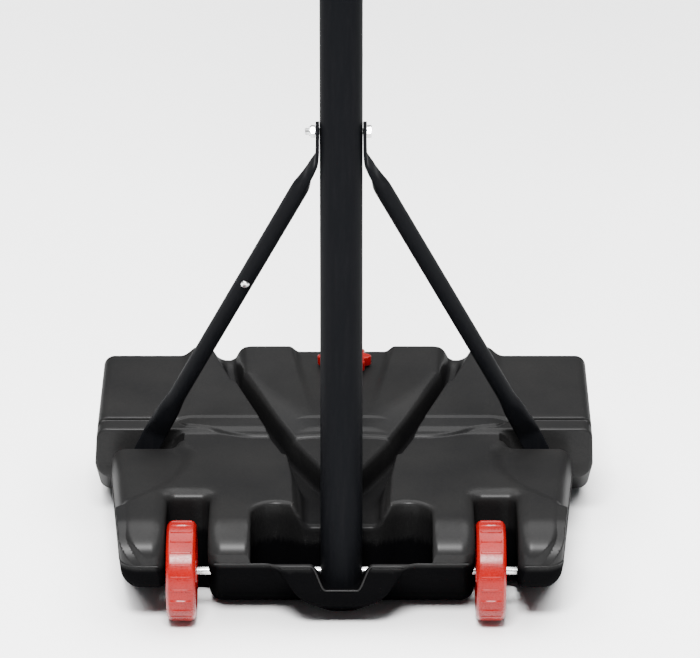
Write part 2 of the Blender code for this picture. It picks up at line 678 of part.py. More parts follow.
# ---------------------------------------------------------------- struts

def strut_stations():
    """Stations down the right strut: (centre, half width, half thickness, thin direction)."""
    plate = STRUT_PLATE / 2
    top_x = POLE_RADIUS + GAP + plate
    wide = STRUT_PLATE_WIDTH / 2
    foot_y = POCKET_FRONT + plate + STRUT_FOOT_STANDOFF
    shoulder = Vector((top_x + 0.0005, 0.003, STRUT_BOLT_HEIGHT - STRUT_FLAT_LENGTH))
    ankle = Vector((STRUT_FOOT_X - 0.006, foot_y, STRUT_FOOT_HEIGHT + 0.014))
    hanging = STRUT_FOOT_X + STRUT_FOOT_SPLAY
    line = ankle - shoulder
    stations = [
        (Vector((top_x, 0.0, STRUT_BOLT_HEIGHT + STRUT_TOP_LENGTH)), 0.012, plate, (1, 0, 0)),
        (Vector((top_x, 0.0, STRUT_BOLT_HEIGHT - 1.3 * BOLT_HEAD_FLAT)), 0.0135, plate, (1, 0, 0)),
        (shoulder, 0.0135, plate, (1, 0.02, 0.1)),
        (shoulder + line * 0.05, 0.0125, 0.0060, (1, 0.02, 0.25)),
        (shoulder + line * 0.11, STRUT_RADIUS, STRUT_RADIUS, (1, 0.0, 0.35)),
        (shoulder + line * 0.50, STRUT_RADIUS, STRUT_RADIUS, (1, -0.6, 0.3)),
        (shoulder + line * 0.84, STRUT_RADIUS, STRUT_RADIUS, (0.1, -1, -0.5)),
        (shoulder + line * 0.92, 0.0135, 0.0070, (0.05, -1, -0.5)),
        (ankle, wide, plate, (0.0, -1, -0.2)),
        (Vector((hanging, foot_y, STRUT_FOOT_HEIGHT - 0.012)), wide, plate, (0, -1, 0)),
        (Vector((hanging, foot_y, FOOT_BOLT_HEIGHT - 0.014)), wide, plate, (0, -1, 0)),
    ]
    return stations


def strut_rings(side, inset):
    """Rings of the strut's outside, or of its bore when inset is its wall."""
    rings = []
    stations = strut_stations()
    sides = 12
    for index, (centre, wide, thin, direction) in enumerate(stations):
        ahead = stations[min(index + 1, len(stations) - 1)][0]
        behind = stations[max(index - 1, 0)][0]
        along = (ahead - behind).normalized()
        thin_way = Vector(direction)
        thin_way = (thin_way - along * thin_way.dot(along)).normalized()
        wide_way = along.cross(thin_way)
        power = 1.0 if abs(wide - thin) < GAP else 0.55
        ring = []
        for step in range(sides):
            angle = 2 * math.pi * (step + 0.5) / sides
            u, v = math.cos(angle), math.sin(angle)
            u = math.copysign(abs(u) ** power, u)
            v = math.copysign(abs(v) ** power, v)
            point = centre + wide_way * u * (wide - inset) + thin_way * v * (thin - inset)
            ring.append((point.x * side, point.y, point.z))
        rings.append(ring)
    return rings


def extended(rings, length):
    """Push the end rings of a bore out past the ends of its tube."""
    first = Vector(rings[0][0]) - Vector(rings[1][0])
    last = Vector(rings[-1][0]) - Vector(rings[-2][0])
    start = [tuple(Vector(point) + first.normalized() * length) for point in rings[0]]
    end = [tuple(Vector(point) + last.normalized() * length) for point in rings[-1]]
    return [start] + rings[1:-1] + [end]


def build_struts(kit, steel, zinc):
    """Make the two struts, the through bolt at the pole, the foot bolts and their inserts."""
    hole = BOLT_RADIUS + GAP
    for side, name in ((-1, "strut_left"), (1, "strut_right")):
        strut = kit.add(name, loft_mesh(strut_rings(side, 0.0)))
        cut(kit, strut, loft_mesh(extended(strut_rings(side, STRUT_WALL), 0.004)))
        low, high = sorted((side * 0.020, side * 0.040))
        cut(kit, strut, rod_mesh(hole, low, high, "X", sides=16, centre=(0.0, STRUT_BOLT_HEIGHT)))
        foot_x = side * foot_bolt_x()
        cut(kit, strut, rod_mesh(hole, POCKET_FRONT - 0.01, POCKET_REAR, "Y", sides=16,
                                 centre=(foot_x, FOOT_BOLT_HEIGHT)))
        strut.data.materials.append(steel)
        build_foot_bolt(kit, "left" if side < 0 else "right", foot_x, zinc)
    outer = POLE_RADIUS + STRUT_PLATE + 2 * GAP
    bolt_through(kit, "strut_bolt", "strut_nut", outer, STRUT_BOLT_HEIGHT, zinc)


def build_foot_bolt(kit, label, x, zinc):
    """Make the short bolt that holds a strut's foot, and the insert it screws into."""
    plate_back = POCKET_FRONT + STRUT_FOOT_STANDOFF + STRUT_PLATE + GAP
    insert_foot = POCKET_FRONT - INSERT_LENGTH
    tip = insert_foot + 0.001
    place = (x, FOOT_BOLT_HEIGHT)
    insert = kit.add(f"foot_insert_{label}", rod_mesh(INSERT_RADIUS, insert_foot, POCKET_FRONT, "Y", sides=20,
                                                      centre=place))
    cut(kit, insert, rod_mesh(BOLT_RADIUS + GAP, tip - GAP, POCKET_FRONT + 0.01, "Y", sides=16, centre=place))
    insert.data.materials.append(zinc)
    bolt = kit.add(f"foot_bolt_{label}", rod_mesh(BOLT_RADIUS, tip, plate_back + 0.001, "Y", sides=16,
                                                  centre=place))
    head = plate_mesh([point + Vector(place) for point in hexagon(BOLT_HEAD_FLAT)], plate_back,
                      plate_back + BOLT_HEAD_HEIGHT, "Y")
    cut(kit, bolt, head, "UNION")
    bolt.data.materials.append(zinc)


def bolt_through(kit, bolt_name, nut_name, outer, height, zinc, depth=0.0):
    """Make a bolt along X with its head on the right, and its lock nut on the left."""
    place = (depth, height)
    bolt = kit.add(bolt_name, rod_mesh(BOLT_RADIUS, -outer - NUT_LENGTH - 0.0045, outer + 0.001, "X",
                                       sides=16, centre=place))
    bolt_head = plate_mesh([point + Vector(place) for point in hexagon(BOLT_HEAD_FLAT)], outer,
                           outer + BOLT_HEAD_HEIGHT, "X")
    cut(kit, bolt, bolt_head, "UNION")
    bolt.data.materials.append(zinc)
    nut = kit.add(nut_name, plate_mesh([point + Vector(place) for point in hexagon(BOLT_HEAD_FLAT)],
                                       -outer - NUT_LENGTH, -outer, "X"))
    cut(kit, nut, rod_mesh(BOLT_RADIUS + GAP, -outer - 0.02, -outer + 0.01, "X", sides=16, centre=place))
    nut.data.materials.append(zinc)


def build_strut_screw(kit, zinc):
    """Make the small pan-head screw in the front of the left strut."""
    stations = strut_stations()
    shoulder, ankle = stations[2][0], stations[8][0]
    along = (ankle - shoulder).normalized()
    centre = shoulder + (ankle - shoulder) * 0.416
    outward = Vector((0, -1, 0)) - along * Vector((0, -1, 0)).dot(along)
    outward.normalize()
    centre.x *= -1
    outward.x *= -1
    turn = outward.to_track_quat("Z", "Y").to_matrix().to_4x4()
    face = STRUT_RADIUS + 2 * GAP
    profile = [(0.0, face + 0.0028), (0.0032, face + 0.0024), (0.0050, face + 0.0010), (0.0050, face),
               (0.0018, face), (0.0018, face - 0.009), (0.0, face - 0.010)]
    screw = turned(kit, "strut_screw", profile, (0, 0, 0), steps=20)
    screw.matrix_local = Matrix.Translation(centre) @ turn
    screw.data.materials.append(zinc)
    strut = bpy.data.objects["strut_left"]
    hole = rod_mesh(0.0018 + GAP, 0.0, 0.02, sides=12)
    hole.transform(Matrix.Translation(centre) @ turn)
    cut(kit, strut, hole)


# ---------------------------------------------------------------- mast, board, rim and net

def build_mast(kit, steel, plastic, zinc):
    """Make the upper pole with its top cap, the board brackets and their bolts."""
    pole = tube(kit, "upper_pole", UPPER_POLE_RADIUS, POLE_WALL, UPPER_POLE_FOOT, UPPER_POLE_TOP, sides=32)
    for height in BRACKET_BOLT_HEIGHTS:
        cut(kit, pole, rod_mesh(BOLT_RADIUS + GAP, -0.05, 0.05, "X", sides=16, centre=(0.0, height)))
    pole.data.materials.append(steel)
    plug = UPPER_POLE_RADIUS - POLE_WALL - GAP
    top = UPPER_POLE_TOP + GAP
    profile = [(0.0, top + 0.009), (0.010, top + 0.008), (UPPER_POLE_RADIUS - 0.003, top + 0.005),
               (UPPER_POLE_RADIUS + 0.001, top + 0.001), (UPPER_POLE_RADIUS + 0.001, top), (plug, top),
               (plug, top - 0.018), (0.0, top - 0.018)]
    cap = turned(kit, "pole_top_cap", profile, (0, 0, 0))
    cap.data.materials.append(plastic)

    board_back = BOARD_FACE + BOARD_THICKNESS + GAP
    inner = UPPER_POLE_RADIUS + GAP
    low = BRACKET_BOLT_HEIGHTS[0] - 0.035
    high = BRACKET_BOLT_HEIGHTS[1] + 0.035
    web = [(board_back, low - 0.010, 0.0), (0.016, low + 0.012, 0.014), (0.016, high - 0.012, 0.014),
           (board_back, high + 0.010, 0.0)]
    hole = BOLT_RADIUS + GAP
    board_hole = BOARD_BOLT_RADIUS + GAP
    for side, name in ((-1, "board_bracket_left"), (1, "board_bracket_right")):
        ends = sorted((side * inner, side * (inner + BRACKET_PLATE)))
        bracket = kit.add(name, plate_mesh(round_outline(web), *ends, "X"))
        ends = sorted((side * inner, side * (RIM_BOLT_X + 0.014)))
        flange_back = board_back + BRACKET_PLATE
        flange = box_mesh((ends[0], board_back, low - 0.010), (ends[1], flange_back, high + 0.010))
        cut(kit, bracket, flange, "UNION")
        for height in BRACKET_BOLT_HEIGHTS:
            cut(kit, bracket, rod_mesh(hole, -0.06, 0.06, "X", sides=16, centre=(0.0, height)))
        for height in BOARD_BOLT_HEIGHTS:
            place = (side * RIM_BOLT_X, height)
            cut(kit, bracket, rod_mesh(board_hole, board_back - 0.01, board_back + 0.01, "Y", sides=12,
                                       centre=place))
        bracket.data.materials.append(steel)
    outer = inner + BRACKET_PLATE + GAP
    for label, height in zip(("lower", "upper"), BRACKET_BOLT_HEIGHTS):
        bolt_through(kit, f"mast_bolt_{label}", f"mast_nut_{label}", outer, height, zinc)


def build_board(kit, white, plastic, zinc):
    """Make the backboard panel, the rails behind its edges and the bolts through it."""
    half = BOARD_WIDTH / 2
    back = BOARD_FACE + BOARD_THICKNESS
    outline = [(-half, BOARD_FOOT, BOARD_CORNER), (half, BOARD_FOOT, BOARD_CORNER),
               (half, BOARD_TOP, BOARD_CORNER), (-half, BOARD_TOP, BOARD_CORNER)]
    panel = kit.add("backboard_panel", plate_mesh(round_outline(outline), BOARD_FACE, back, "Y"))
    panel.data.materials.append(white)
    front, rear = back + GAP, back + GAP + RAIL_DEPTH
    side_foot, side_top = BOARD_FOOT + BOARD_CORNER, BOARD_TOP - BOARD_CORNER
    rail_half = half - BOARD_CORNER - RAIL_WIDTH - GAP
    side_inner = half - RAIL_INSET - RAIL_WIDTH
    side_outer = half - RAIL_INSET
    low, high = BOARD_FOOT + RAIL_INSET, BOARD_TOP - RAIL_INSET
    rails = {
        "board_rail_left": ((-side_outer, front, side_foot), (-side_inner, rear, side_top)),
        "board_rail_right": ((side_inner, front, side_foot), (side_outer, rear, side_top)),
        "board_rail_top": ((-rail_half, front, high - RAIL_WIDTH), (rail_half, rear, high)),
        "board_rail_bottom": ((-rail_half, front, low), (rail_half, rear, low + RAIL_WIDTH)),
    }
    for name, corners in rails.items():
        rail = kit.add(name, box_mesh(*corners))
        rail.data.materials.append(plastic)
    number = 0
    for row, height in enumerate(BOARD_BOLT_HEIGHTS):
        for side in (-1, 1):
            number += 1
            place = (side * RIM_BOLT_X, height)
            cut(kit, panel, rod_mesh(BOARD_BOLT_RADIUS + GAP, BOARD_FACE - 0.01, back + 0.01, "Y",
                                     sides=12, centre=place))
            stack = BRACKET_PLATE + GAP if row == 0 else 0.0
            build_board_bolt(kit, number, place, BOARD_FACE - GAP - stack, zinc)


def build_board_bolt(kit, number, place, face, zinc):
    """Make one round-head bolt through the board, and its nut behind the bracket's flange."""
    seat = BOARD_FACE + BOARD_THICKNESS + 2 * GAP + BRACKET_PLATE
    shank = BOARD_BOLT_RADIUS
    profile = [(0.0, 0.0030), (0.0045, 0.0022), (0.0065, 0.0), (shank, 0.0),
               (shank, -(seat + 0.010 - face)), (0.0, -(seat + 0.010 - face))]
    bolt = turned(kit, f"board_bolt_{number}", profile, (place[0], face, place[1]), steps=16)
    bolt.rotation_euler = (math.pi / 2, 0.0, 0.0)
    bolt.data.materials.append(zinc)
    corners = [point + Vector(place) for point in hexagon(0.005)]
    nut = kit.add(f"board_nut_{number}", plate_mesh(corners, seat, seat + 0.005, "Y"))
    cut(kit, nut, rod_mesh(shank + GAP, seat - 0.01, seat + 0.02, "Y", sides=16, centre=place))
    nut.data.materials.append(zinc)


def build_rim(kit, red, white):
    """Make the rim's bracket, its ring and the net that hangs from it."""
    face = BOARD_FACE - GAP
    major = RIM_INNER_RADIUS + RIM_ROD_RADIUS
    centre_y = BOARD_FACE - RIM_TO_BOARD - major - RIM_ROD_RADIUS
    half = RIM_PLATE_HALF
    low, high = RIM_HEIGHT - 0.045, RIM_HEIGHT + 0.050
    plate = [(-half, low, 0.008), (half, low, 0.008), (half, high, 0.008), (-half, high, 0.008)]
    bracket = kit.add("rim_bracket", plate_mesh(round_outline(plate), face - BRACKET_PLATE, face, "Y"))
    reach = centre_y + major - RIM_ROD_RADIUS * 0.4
    shelf = [(-0.050, face - 0.001, 0.0), (-0.070, reach - 0.014, 0.002), (0.070, reach - 0.014, 0.002),
             (0.050, face - 0.001, 0.0)]
    shelf_foot = RIM_HEIGHT - RIM_ROD_RADIUS - GAP - BRACKET_PLATE
    shelf_mesh = plate_mesh(round_outline(shelf), shelf_foot, shelf_foot + BRACKET_PLATE)
    cut(kit, bracket, shelf_mesh, "UNION")
    gusset = [(face - 0.001, shelf_foot - 0.034, 0.002), (face - 0.001, shelf_foot + 0.001, 0.0),
              (reach + 0.010, shelf_foot + 0.001, 0.002)]
    for x in (-0.046, 0.043):
        cut(kit, bracket, plate_mesh(round_outline(gusset), x, x + BRACKET_PLATE, "X"), "UNION")
    for side in (-1, 1):
        place = (side * RIM_BOLT_X, BOARD_BOLT_HEIGHTS[0])
        cut(kit, bracket, rod_mesh(BOARD_BOLT_RADIUS + GAP, face - 0.01, face + 0.01, "Y",
                                   sides=12, centre=place))
    bracket.data.materials.append(red)
    rod = 8
    profile = []
    for step in range(rod):
        angle = math.pi / 2 - 2 * math.pi * step / rod
        profile.append((major + RIM_ROD_RADIUS * math.cos(angle), RIM_ROD_RADIUS * math.sin(angle)))
    ring = turned(kit, "rim_ring", profile, (0.0, centre_y, RIM_HEIGHT), closed=True, steps=40)
    ring.data.materials.append(red)

    top = -RIM_ROD_RADIUS - NET_DROP
    drop = top - NET_DEPTH
    outer = [(major - 0.002, top), (major - 0.016, top - 0.08), (NET_FOOT_RADIUS + 0.024, top - 0.20),
             (NET_FOOT_RADIUS, drop)]
    inner = [(radius - NET_WALL, height) for radius, height in reversed(outer)]
    net = turned(kit, "net", outer + inner, (0.0, centre_y, RIM_HEIGHT), closed=True)
    net.data.materials.append(white)


def build_hoop():
    """Make every piece of the hoop."""
    for leftover in list(bpy.data.objects):
        bpy.data.objects.remove(leftover)
    kit = Kit()
    shell = material("charcoal_plastic", PLASTIC_BLACK, 0.45)
    water = material("fill_water", (0.35, 0.45, 0.50), 0.1)
    rubber = material("seal_rubber", (0.02, 0.02, 0.02), 0.7)
    red = material("red_plastic", RED, 0.25)
    zinc = material("zinc_plate", ZINC, 0.3, 1.0)
    steel = material("black_powder_coat", STEEL_BLACK, 0.35)
    trim = material("black_trim_plastic", (0.02, 0.02, 0.021), 0.5)
    board = material("white_board", WHITE, 0.35)
    rim_red = material("red_powder_coat", (0.60, 0.06, 0.015), 0.35)
    cord = material("white_net_cord", (0.85, 0.85, 0.83), 0.8)
    build_tank(kit, shell, water)
    build_cap(kit, red, rubber)
    build_running_gear(kit, red, zinc, trim)
    build_pole(kit, steel, trim, zinc)
    build_struts(kit, steel, zinc)
    build_strut_screw(kit, zinc)
    build_mast(kit, steel, trim, zinc)
    build_board(kit, board, trim, zinc)
    build_rim(kit, rim_red, cord)


build_hoop()
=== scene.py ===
"""Looks of a portable basketball hoop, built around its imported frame.

Each sub-assembly is a class that makes its meshes as numpy surfaces and dresses them. Lengths in the
classes are millimetres from the pole's axis on the floor; the frame says where that axis stands.
"""
import logging
import math
from collections.abc import Callable, Sequence
from dataclasses import dataclass
from enum import Enum
from typing import Any

import bpy
import numpy as np
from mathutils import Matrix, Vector

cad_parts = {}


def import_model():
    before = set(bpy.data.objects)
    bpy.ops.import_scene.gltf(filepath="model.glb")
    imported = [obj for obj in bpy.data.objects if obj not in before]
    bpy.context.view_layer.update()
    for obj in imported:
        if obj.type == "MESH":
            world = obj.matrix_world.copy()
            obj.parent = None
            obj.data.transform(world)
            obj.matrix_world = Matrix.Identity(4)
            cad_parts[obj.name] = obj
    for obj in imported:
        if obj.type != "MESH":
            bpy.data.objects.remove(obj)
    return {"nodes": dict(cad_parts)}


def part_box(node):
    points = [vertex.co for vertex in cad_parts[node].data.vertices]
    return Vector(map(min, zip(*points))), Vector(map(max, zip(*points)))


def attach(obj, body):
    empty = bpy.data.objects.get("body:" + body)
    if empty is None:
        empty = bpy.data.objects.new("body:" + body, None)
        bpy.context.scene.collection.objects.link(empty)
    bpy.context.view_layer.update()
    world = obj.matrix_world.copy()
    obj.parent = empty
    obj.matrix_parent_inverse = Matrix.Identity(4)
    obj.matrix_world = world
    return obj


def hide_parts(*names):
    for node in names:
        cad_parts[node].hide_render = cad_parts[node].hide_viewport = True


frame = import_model()

LOG = logging.getLogger("hoop")
MM = 0.001
TAU = 2.0 * math.pi
Array = np.ndarray
FAR = 500.0             # millimetres, beyond every surface
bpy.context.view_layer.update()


# ---------------------------------------------------------------- places in the frame

def axis_of(node: str) -> Array:
    """Return the middle of a node's box.

    Args:
        node: a node of the frame.

    Returns:
        The centre in metres.
    """
    low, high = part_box(node)
    return (np.array(low) + np.array(high)) / 2.0


POLE_AXIS = np.array([axis_of("lower_pole")[0], axis_of("lower_pole")[1], 0.0])


def world(points: Array) -> Array:
    """Turn millimetres from the pole's foot into metres in the frame."""
    return np.asarray(points, float) * MM + POLE_AXIS


def local(point: Sequence[float]) -> Array:
    """Turn metres in the frame into millimetres from the pole's foot."""
    return (np.asarray(point, float) - POLE_AXIS) / MM


def node_span(node: str) -> tuple[Array, Array]:
    """Return a node's lowest and highest corners in millimetres from the pole's foot."""
    low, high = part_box(node)
    return local(low), local(high)


# ---------------------------------------------------------------- meshes

class Shading(Enum):
    """How a mesh's faces are shaded."""

    SMOOTH = 180.0
    CREASED = 35.0
    FLAT = 0.0


def build_object(name: str, points: Array, faces: Sequence[Sequence[int]],
                 shading: Shading = Shading.CREASED) -> bpy.types.Object:
    """Make an object from points in millimetres.

    Args:
        name: the piece's name.
        points: vertices, one row each.
        faces: vertex numbers of each face.
        shading: how its edges are shaded.

    Returns:
        The new object, which stands at the origin.
    """
    mesh = bpy.data.meshes.new(name)
    mesh.from_pydata(world(points).tolist(), [], [list(face) for face in faces])
    mesh.validate()
    mesh.update()
    if shading is not Shading.FLAT:
        mesh.shade_smooth()
        if shading is Shading.CREASED:
            mesh.set_sharp_from_angle(angle=math.radians(shading.value))
    made = bpy.data.objects.new(name, mesh)
    bpy.context.scene.collection.objects.link(made)
    return made


def grid_faces(rows: int, columns: int, wrap_rows: bool, wrap_columns: bool) -> Array:
    """Return the quads of a grid whose point (i, j) has the number i * columns + j.

    Args:
        rows: number of rows.
        columns: number of points in a row.
        wrap_rows: whether the last row joins the first.
        wrap_columns: whether each row is a ring.

    Returns:
        Four vertex numbers a row.
    """
    i = np.arange(rows if wrap_rows else rows - 1)[:, None]
    j = np.arange(columns if wrap_columns else columns - 1)[None, :]
    following_i = (i + 1) % rows
    following_j = (j + 1) % columns
    corners = [i * columns + j, i * columns + following_j,
               following_i * columns + following_j, following_i * columns + j]
    return np.stack([np.broadcast_to(c, (i.size, j.size)) for c in corners], -1).reshape(-1, 4)


def signed_volume(points: Array, faces: Sequence[Sequence[int]]) -> float:
    """Return six times the volume inside closed faces, positive when they point outwards.

    Args:
        points: the corner points.
        faces: the faces, as lists of point numbers.

    Returns:
        The volume times six.
    """
    total = 0.0
    quads = [face for face in faces if len(face) == 4]
    others = [face for face in faces if len(face) != 4]
    if quads:
        q = np.array(quads)
        a, b, c, d = (points[q[:, k]] for k in range(4))
        total += float(np.einsum("ij,ij->", a, np.cross(b, c)))
        total += float(np.einsum("ij,ij->", a, np.cross(c, d)))
    for face in others:
        base = points[face[0]]
        for second, third in zip(face[1:-1], face[2:]):
            total += float(np.dot(base, np.cross(points[second], points[third])))
    return total


def skin(rings: Array, closed: bool = False) -> tuple[Array, list[list[int]]]:
    """Join rings of points into a closed surface, with its faces outwards.

    Point (i, j) of the surface is rings[i, j]; each ring closes on itself. The first and the last
    ring get a flat cap, unless the rings themselves join into a loop.

    Args:
        rings: array of rings x points x 3.
        closed: whether the last ring joins the first.

    Returns:
        The points and the faces.
    """
    rows, columns = rings.shape[:2]
    points = rings.reshape(-1, 3)
    faces = grid_faces(rows, columns, closed, True).tolist()
    if not closed:
        faces.append(list(range(columns))[::-1])
        faces.append([(rows - 1) * columns + k for k in range(columns)])
    if signed_volume(points - points.mean(0), faces) < 0:
        faces = [face[::-1] for face in faces]
    return points, faces


def merge(parts: Sequence[tuple[Array, list[list[int]]]]) -> tuple[Array, list[list[int]]]:
    """Put several surfaces into one list of points and faces.

    Args:
        parts: the surfaces, each as points and faces.

    Returns:
        All the points and all the faces.
    """
    points, faces, start = [], [], 0
    for part_points, part_faces in parts:
        points.append(part_points)
        faces.extend([[index + start for index in face] for face in part_faces])
        start += len(part_points)
    return np.concatenate(points), faces


class Axis(Enum):
    """Which way the third coordinate of a flat or turned shape points."""

    X = 0
    Y = 1
    Z = 2

    def place(self, points: Array, centre: Sequence[float]) -> Array:
        """Turn (u, v, w) so that w lies along the axis, and move it to the centre.

        Args:
            points: array whose last direction holds (u, v, w).
            centre: where (0, 0, 0) goes.

        Returns:
            The points in (x, y, z).
        """
        u, v, w = points[..., 0], points[..., 1], points[..., 2]
        turned = {Axis.X: (w, u, v), Axis.Y: (v, w, u), Axis.Z: (u, v, w)}[self]
        return np.stack(turned, -1) + np.asarray(centre, float)


def fillet(corners: Sequence[tuple[float, float, float]], steps: int = 4, loop: bool = False) -> Array:
    """Round the corners of a line of (u, v, radius) corners.

    Each corner becomes an arc that touches both its edges, at radius / tan(half the corner's angle)
    from the corner, drawn as a quadratic curve through the corner's weight.

    Args:
        corners: the line's corners; a radius of 0 stays sharp.
        steps: pieces in each arc.
        loop: whether the line closes on itself.

    Returns:
        An array of (u, v) points.
    """
    points = []
    count = len(corners)
    for index, (u, v, radius) in enumerate(corners):
        here = np.array([u, v])
        if radius <= 0 or (not loop and index in (0, count - 1)):
            points.append(here)
            continue
        back = np.array(corners[index - 1][:2]) - here
        onward = np.array(corners[(index + 1) % count][:2]) - here
        back_length, onward_length = np.linalg.norm(back), np.linalg.norm(onward)
        cosine = float(np.clip(back @ onward / (back_length * onward_length), -1, 1))
        half = math.acos(cosine) / 2.0
        reach = min(radius / math.tan(half), 0.49 * back_length, 0.49 * onward_length)
        start = here + back / back_length * reach
        end = here + onward / onward_length * reach
        t = np.linspace(0, 1, steps + 1)[:, None]
        weight = math.sin(half)
        blend = (1 - t) ** 2 + 2 * weight * t * (1 - t) + t ** 2
        points.extend(((1 - t) ** 2 * start + 2 * weight * t * (1 - t) * here + t ** 2 * end) / blend)
    return np.array(points)


def turned(profile: Array, centre: Sequence[float], axis: Axis, steps: int = 48,
           closed: bool = False) -> tuple[Array, list[list[int]]]:
    """Turn a profile of (radius, height) about an axis.

    Point (i, j) is (r_j cos a_i, r_j sin a_i, h_j) with a_i going once round. An end of the profile
    that lies on the axis becomes a single point.

    Args:
        profile: the (radius, height) points.
        centre: where the axis's zero height stands.
        axis: the direction of the heights.
        steps: pieces in one turn.
        closed: whether the profile is itself a loop.

    Returns:
        The points and the faces.
    """
    angle = np.arange(steps) * TAU / steps
    radius, height = profile[:, 0], profile[:, 1]
    rings = np.stack([radius[:, None] * np.cos(angle), radius[:, None] * np.sin(angle),
                      np.repeat(height[:, None], steps, 1)], -1)
    points, faces = skin(axis.place(rings, centre), closed)
    if closed:
        return points, faces
    return weld_poles(points, faces, profile, steps)


def weld_poles(points: Array, faces: list[list[int]], profile: Array,
               steps: int) -> tuple[Array, list[list[int]]]:
    """Shrink each end ring that lies on the axis to one point.

    Args:
        points: the grid's points, ring after ring.
        faces: the grid's faces.
        profile: the (radius, height) points that were turned.
        steps: points in a ring.

    Returns:
        The points and faces, with one point at each pole.
    """
    target = np.arange(len(points))
    for row in (0, len(profile) - 1):
        if profile[row, 0] < 1e-6:
            target[row * steps:(row + 1) * steps] = row * steps
    kept = np.unique(target)
    number = np.full(len(points), -1)
    number[kept] = np.arange(len(kept))
    result = []
    for face in faces:
        ring = [int(number[target[index]]) for index in face]
        clean = [value for place, value in enumerate(ring) if value != ring[place - 1]]
        if len(clean) > 2:
            result.append(clean)
    return points[kept], result


def plate(outline: Array, low: float, high: float, edge: float, axis: Axis,
          centre: Sequence[float] = (0.0, 0.0, 0.0), steps: int = 3) -> tuple[Array, list[list[int]]]:
    """Extrude an outline and round its two rims.

    Ring k of a rim is the outline moved inwards by edge * (1 - sin a) at a height of
    edge * (1 - cos a) from the face, with a from 0 to a quarter turn.

    Args:
        outline: anticlockwise (u, v) points.
        low: height of the lower face.
        high: height of the upper face.
        edge: radius of the rims.
        axis: the direction of the heights.
        centre: where (0, 0, 0) goes.
        steps: rings in each rim.

    Returns:
        The points and the faces.
    """
    a = np.linspace(0, math.pi / 2, steps + 1)
    inset = edge * (1 - np.sin(a))
    rise = edge * (1 - np.cos(a))
    insets = np.concatenate([inset, inset[::-1]])
    heights = np.concatenate([low + rise, high - rise[::-1]])
    before = outline - np.roll(outline, 1, 0)
    after = np.roll(outline, -1, 0) - outline
    before /= np.maximum(np.linalg.norm(before, axis=1, keepdims=True), 1e-9)
    after /= np.maximum(np.linalg.norm(after, axis=1, keepdims=True), 1e-9)
    first = np.stack([-before[:, 1], before[:, 0]], -1)
    second = np.stack([-after[:, 1], after[:, 0]], -1)
    shift = (first + second) / (1.0 + np.sum(first * second, 1, keepdims=True))
    rings = np.stack([np.concatenate([outline + shift * amount, np.full((len(outline), 1), height)], 1)
                      for amount, height in zip(insets, heights)])
    return skin(axis.place(rings, centre))


def swept(path: Array, across: Array, normals: Array, closed: bool = False) -> tuple[Array, list[list[int]]]:
    """Carry sections along a path.

    Point (i, j) is path_i + u_ij * side_i + v_ij * normal_i, where side_i is at right angles to the
    path and to normal_i.

    Args:
        path: points along the middle.
        across: sections, path points x section points x 2, or one section for all.
        normals: the way that v points at each path point.
        closed: whether the path is a loop.

    Returns:
        The points and the faces.
    """
    along = np.roll(path, -1, 0) - np.roll(path, 1, 0)
    if not closed:
        along[0] = path[1] - path[0]
        along[-1] = path[-1] - path[-2]
    along /= np.linalg.norm(along, axis=1, keepdims=True)
    up = normals - along * np.sum(normals * along, 1, keepdims=True)
    up /= np.linalg.norm(up, axis=1, keepdims=True)
    side = np.cross(along, up)
    if across.ndim == 2:
        across = np.repeat(across[None], len(path), 0)
    rings = path[:, None] + across[..., :1] * side[:, None] + across[..., 1:] * up[:, None]
    return skin(rings, closed)


def circle(radius: float, steps: int) -> Array:
    """Return the points of a circle."""
    angle = np.arange(steps) * TAU / steps
    return np.stack([radius * np.cos(angle), radius * np.sin(angle)], -1)


# ---------------------------------------------------------------- surfaces of a distance field

def both(a: Array, b: Array, radius: float = 0.0) -> Array:
    """Keep what is inside two fields, with a round edge of that radius where they meet.

    The edge is min(max(a, b), -r) + length(max(a + r, 0), max(b + r, 0)).

    Args:
        a: one field.
        b: the other field.
        radius: the edge's radius.

    Returns:
        The field, below zero inside.
    """
    if radius <= 0:
        return np.maximum(a, b)
    u = np.maximum(a + radius, 0.0)
    v = np.maximum(b + radius, 0.0)
    return np.minimum(np.maximum(a, b), -radius) + np.sqrt(u * u + v * v)


def either(a: Array, b: Array, radius: float = 0.0) -> Array:
    """Keep what is inside one field or the other, with a hollow fillet where they meet."""
    return -both(-a, -b, radius)


def without(a: Array, b: Array, radius: float = 0.0) -> Array:
    """Keep what is inside the first field and outside the second, with round edges."""
    return both(a, -b, radius)


def line_side(u: Array, v: Array, start: tuple[float, float], end: tuple[float, float]) -> Array:
    """Return the distance from a line, positive on its right as it runs from start to end."""
    du, dv = end[0] - start[0], end[1] - start[1]
    return ((u - start[0]) * dv - (v - start[1]) * du) / math.hypot(du, dv)


def smooth_step(value: Array, start: float, end: float) -> Array:
    """Rise smoothly from 0 at start to 1 at end."""
    t = np.clip((value - start) / (end - start), 0.0, 1.0)
    return t * t * (3.0 - 2.0 * t)


Field = Callable[[Array, Array, Array], Array]


def field_slope(field: Field, points: Array, reach: float = 0.15) -> tuple[Array, Array]:
    """Return a field and its gradient at points, by central differences.

    Args:
        field: the field.
        points: where it is read.
        reach: how far to each side a difference reads.

    Returns:
        The field's values and its gradients.
    """
    x, y, z = points.T
    gradient = np.stack([
        field(x + reach, y, z) - field(x - reach, y, z),
        field(x, y + reach, z) - field(x, y - reach, z),
        field(x, y, z + reach) - field(x, y, z - reach),
    ], -1) / (2.0 * reach)
    return field(x, y, z), gradient


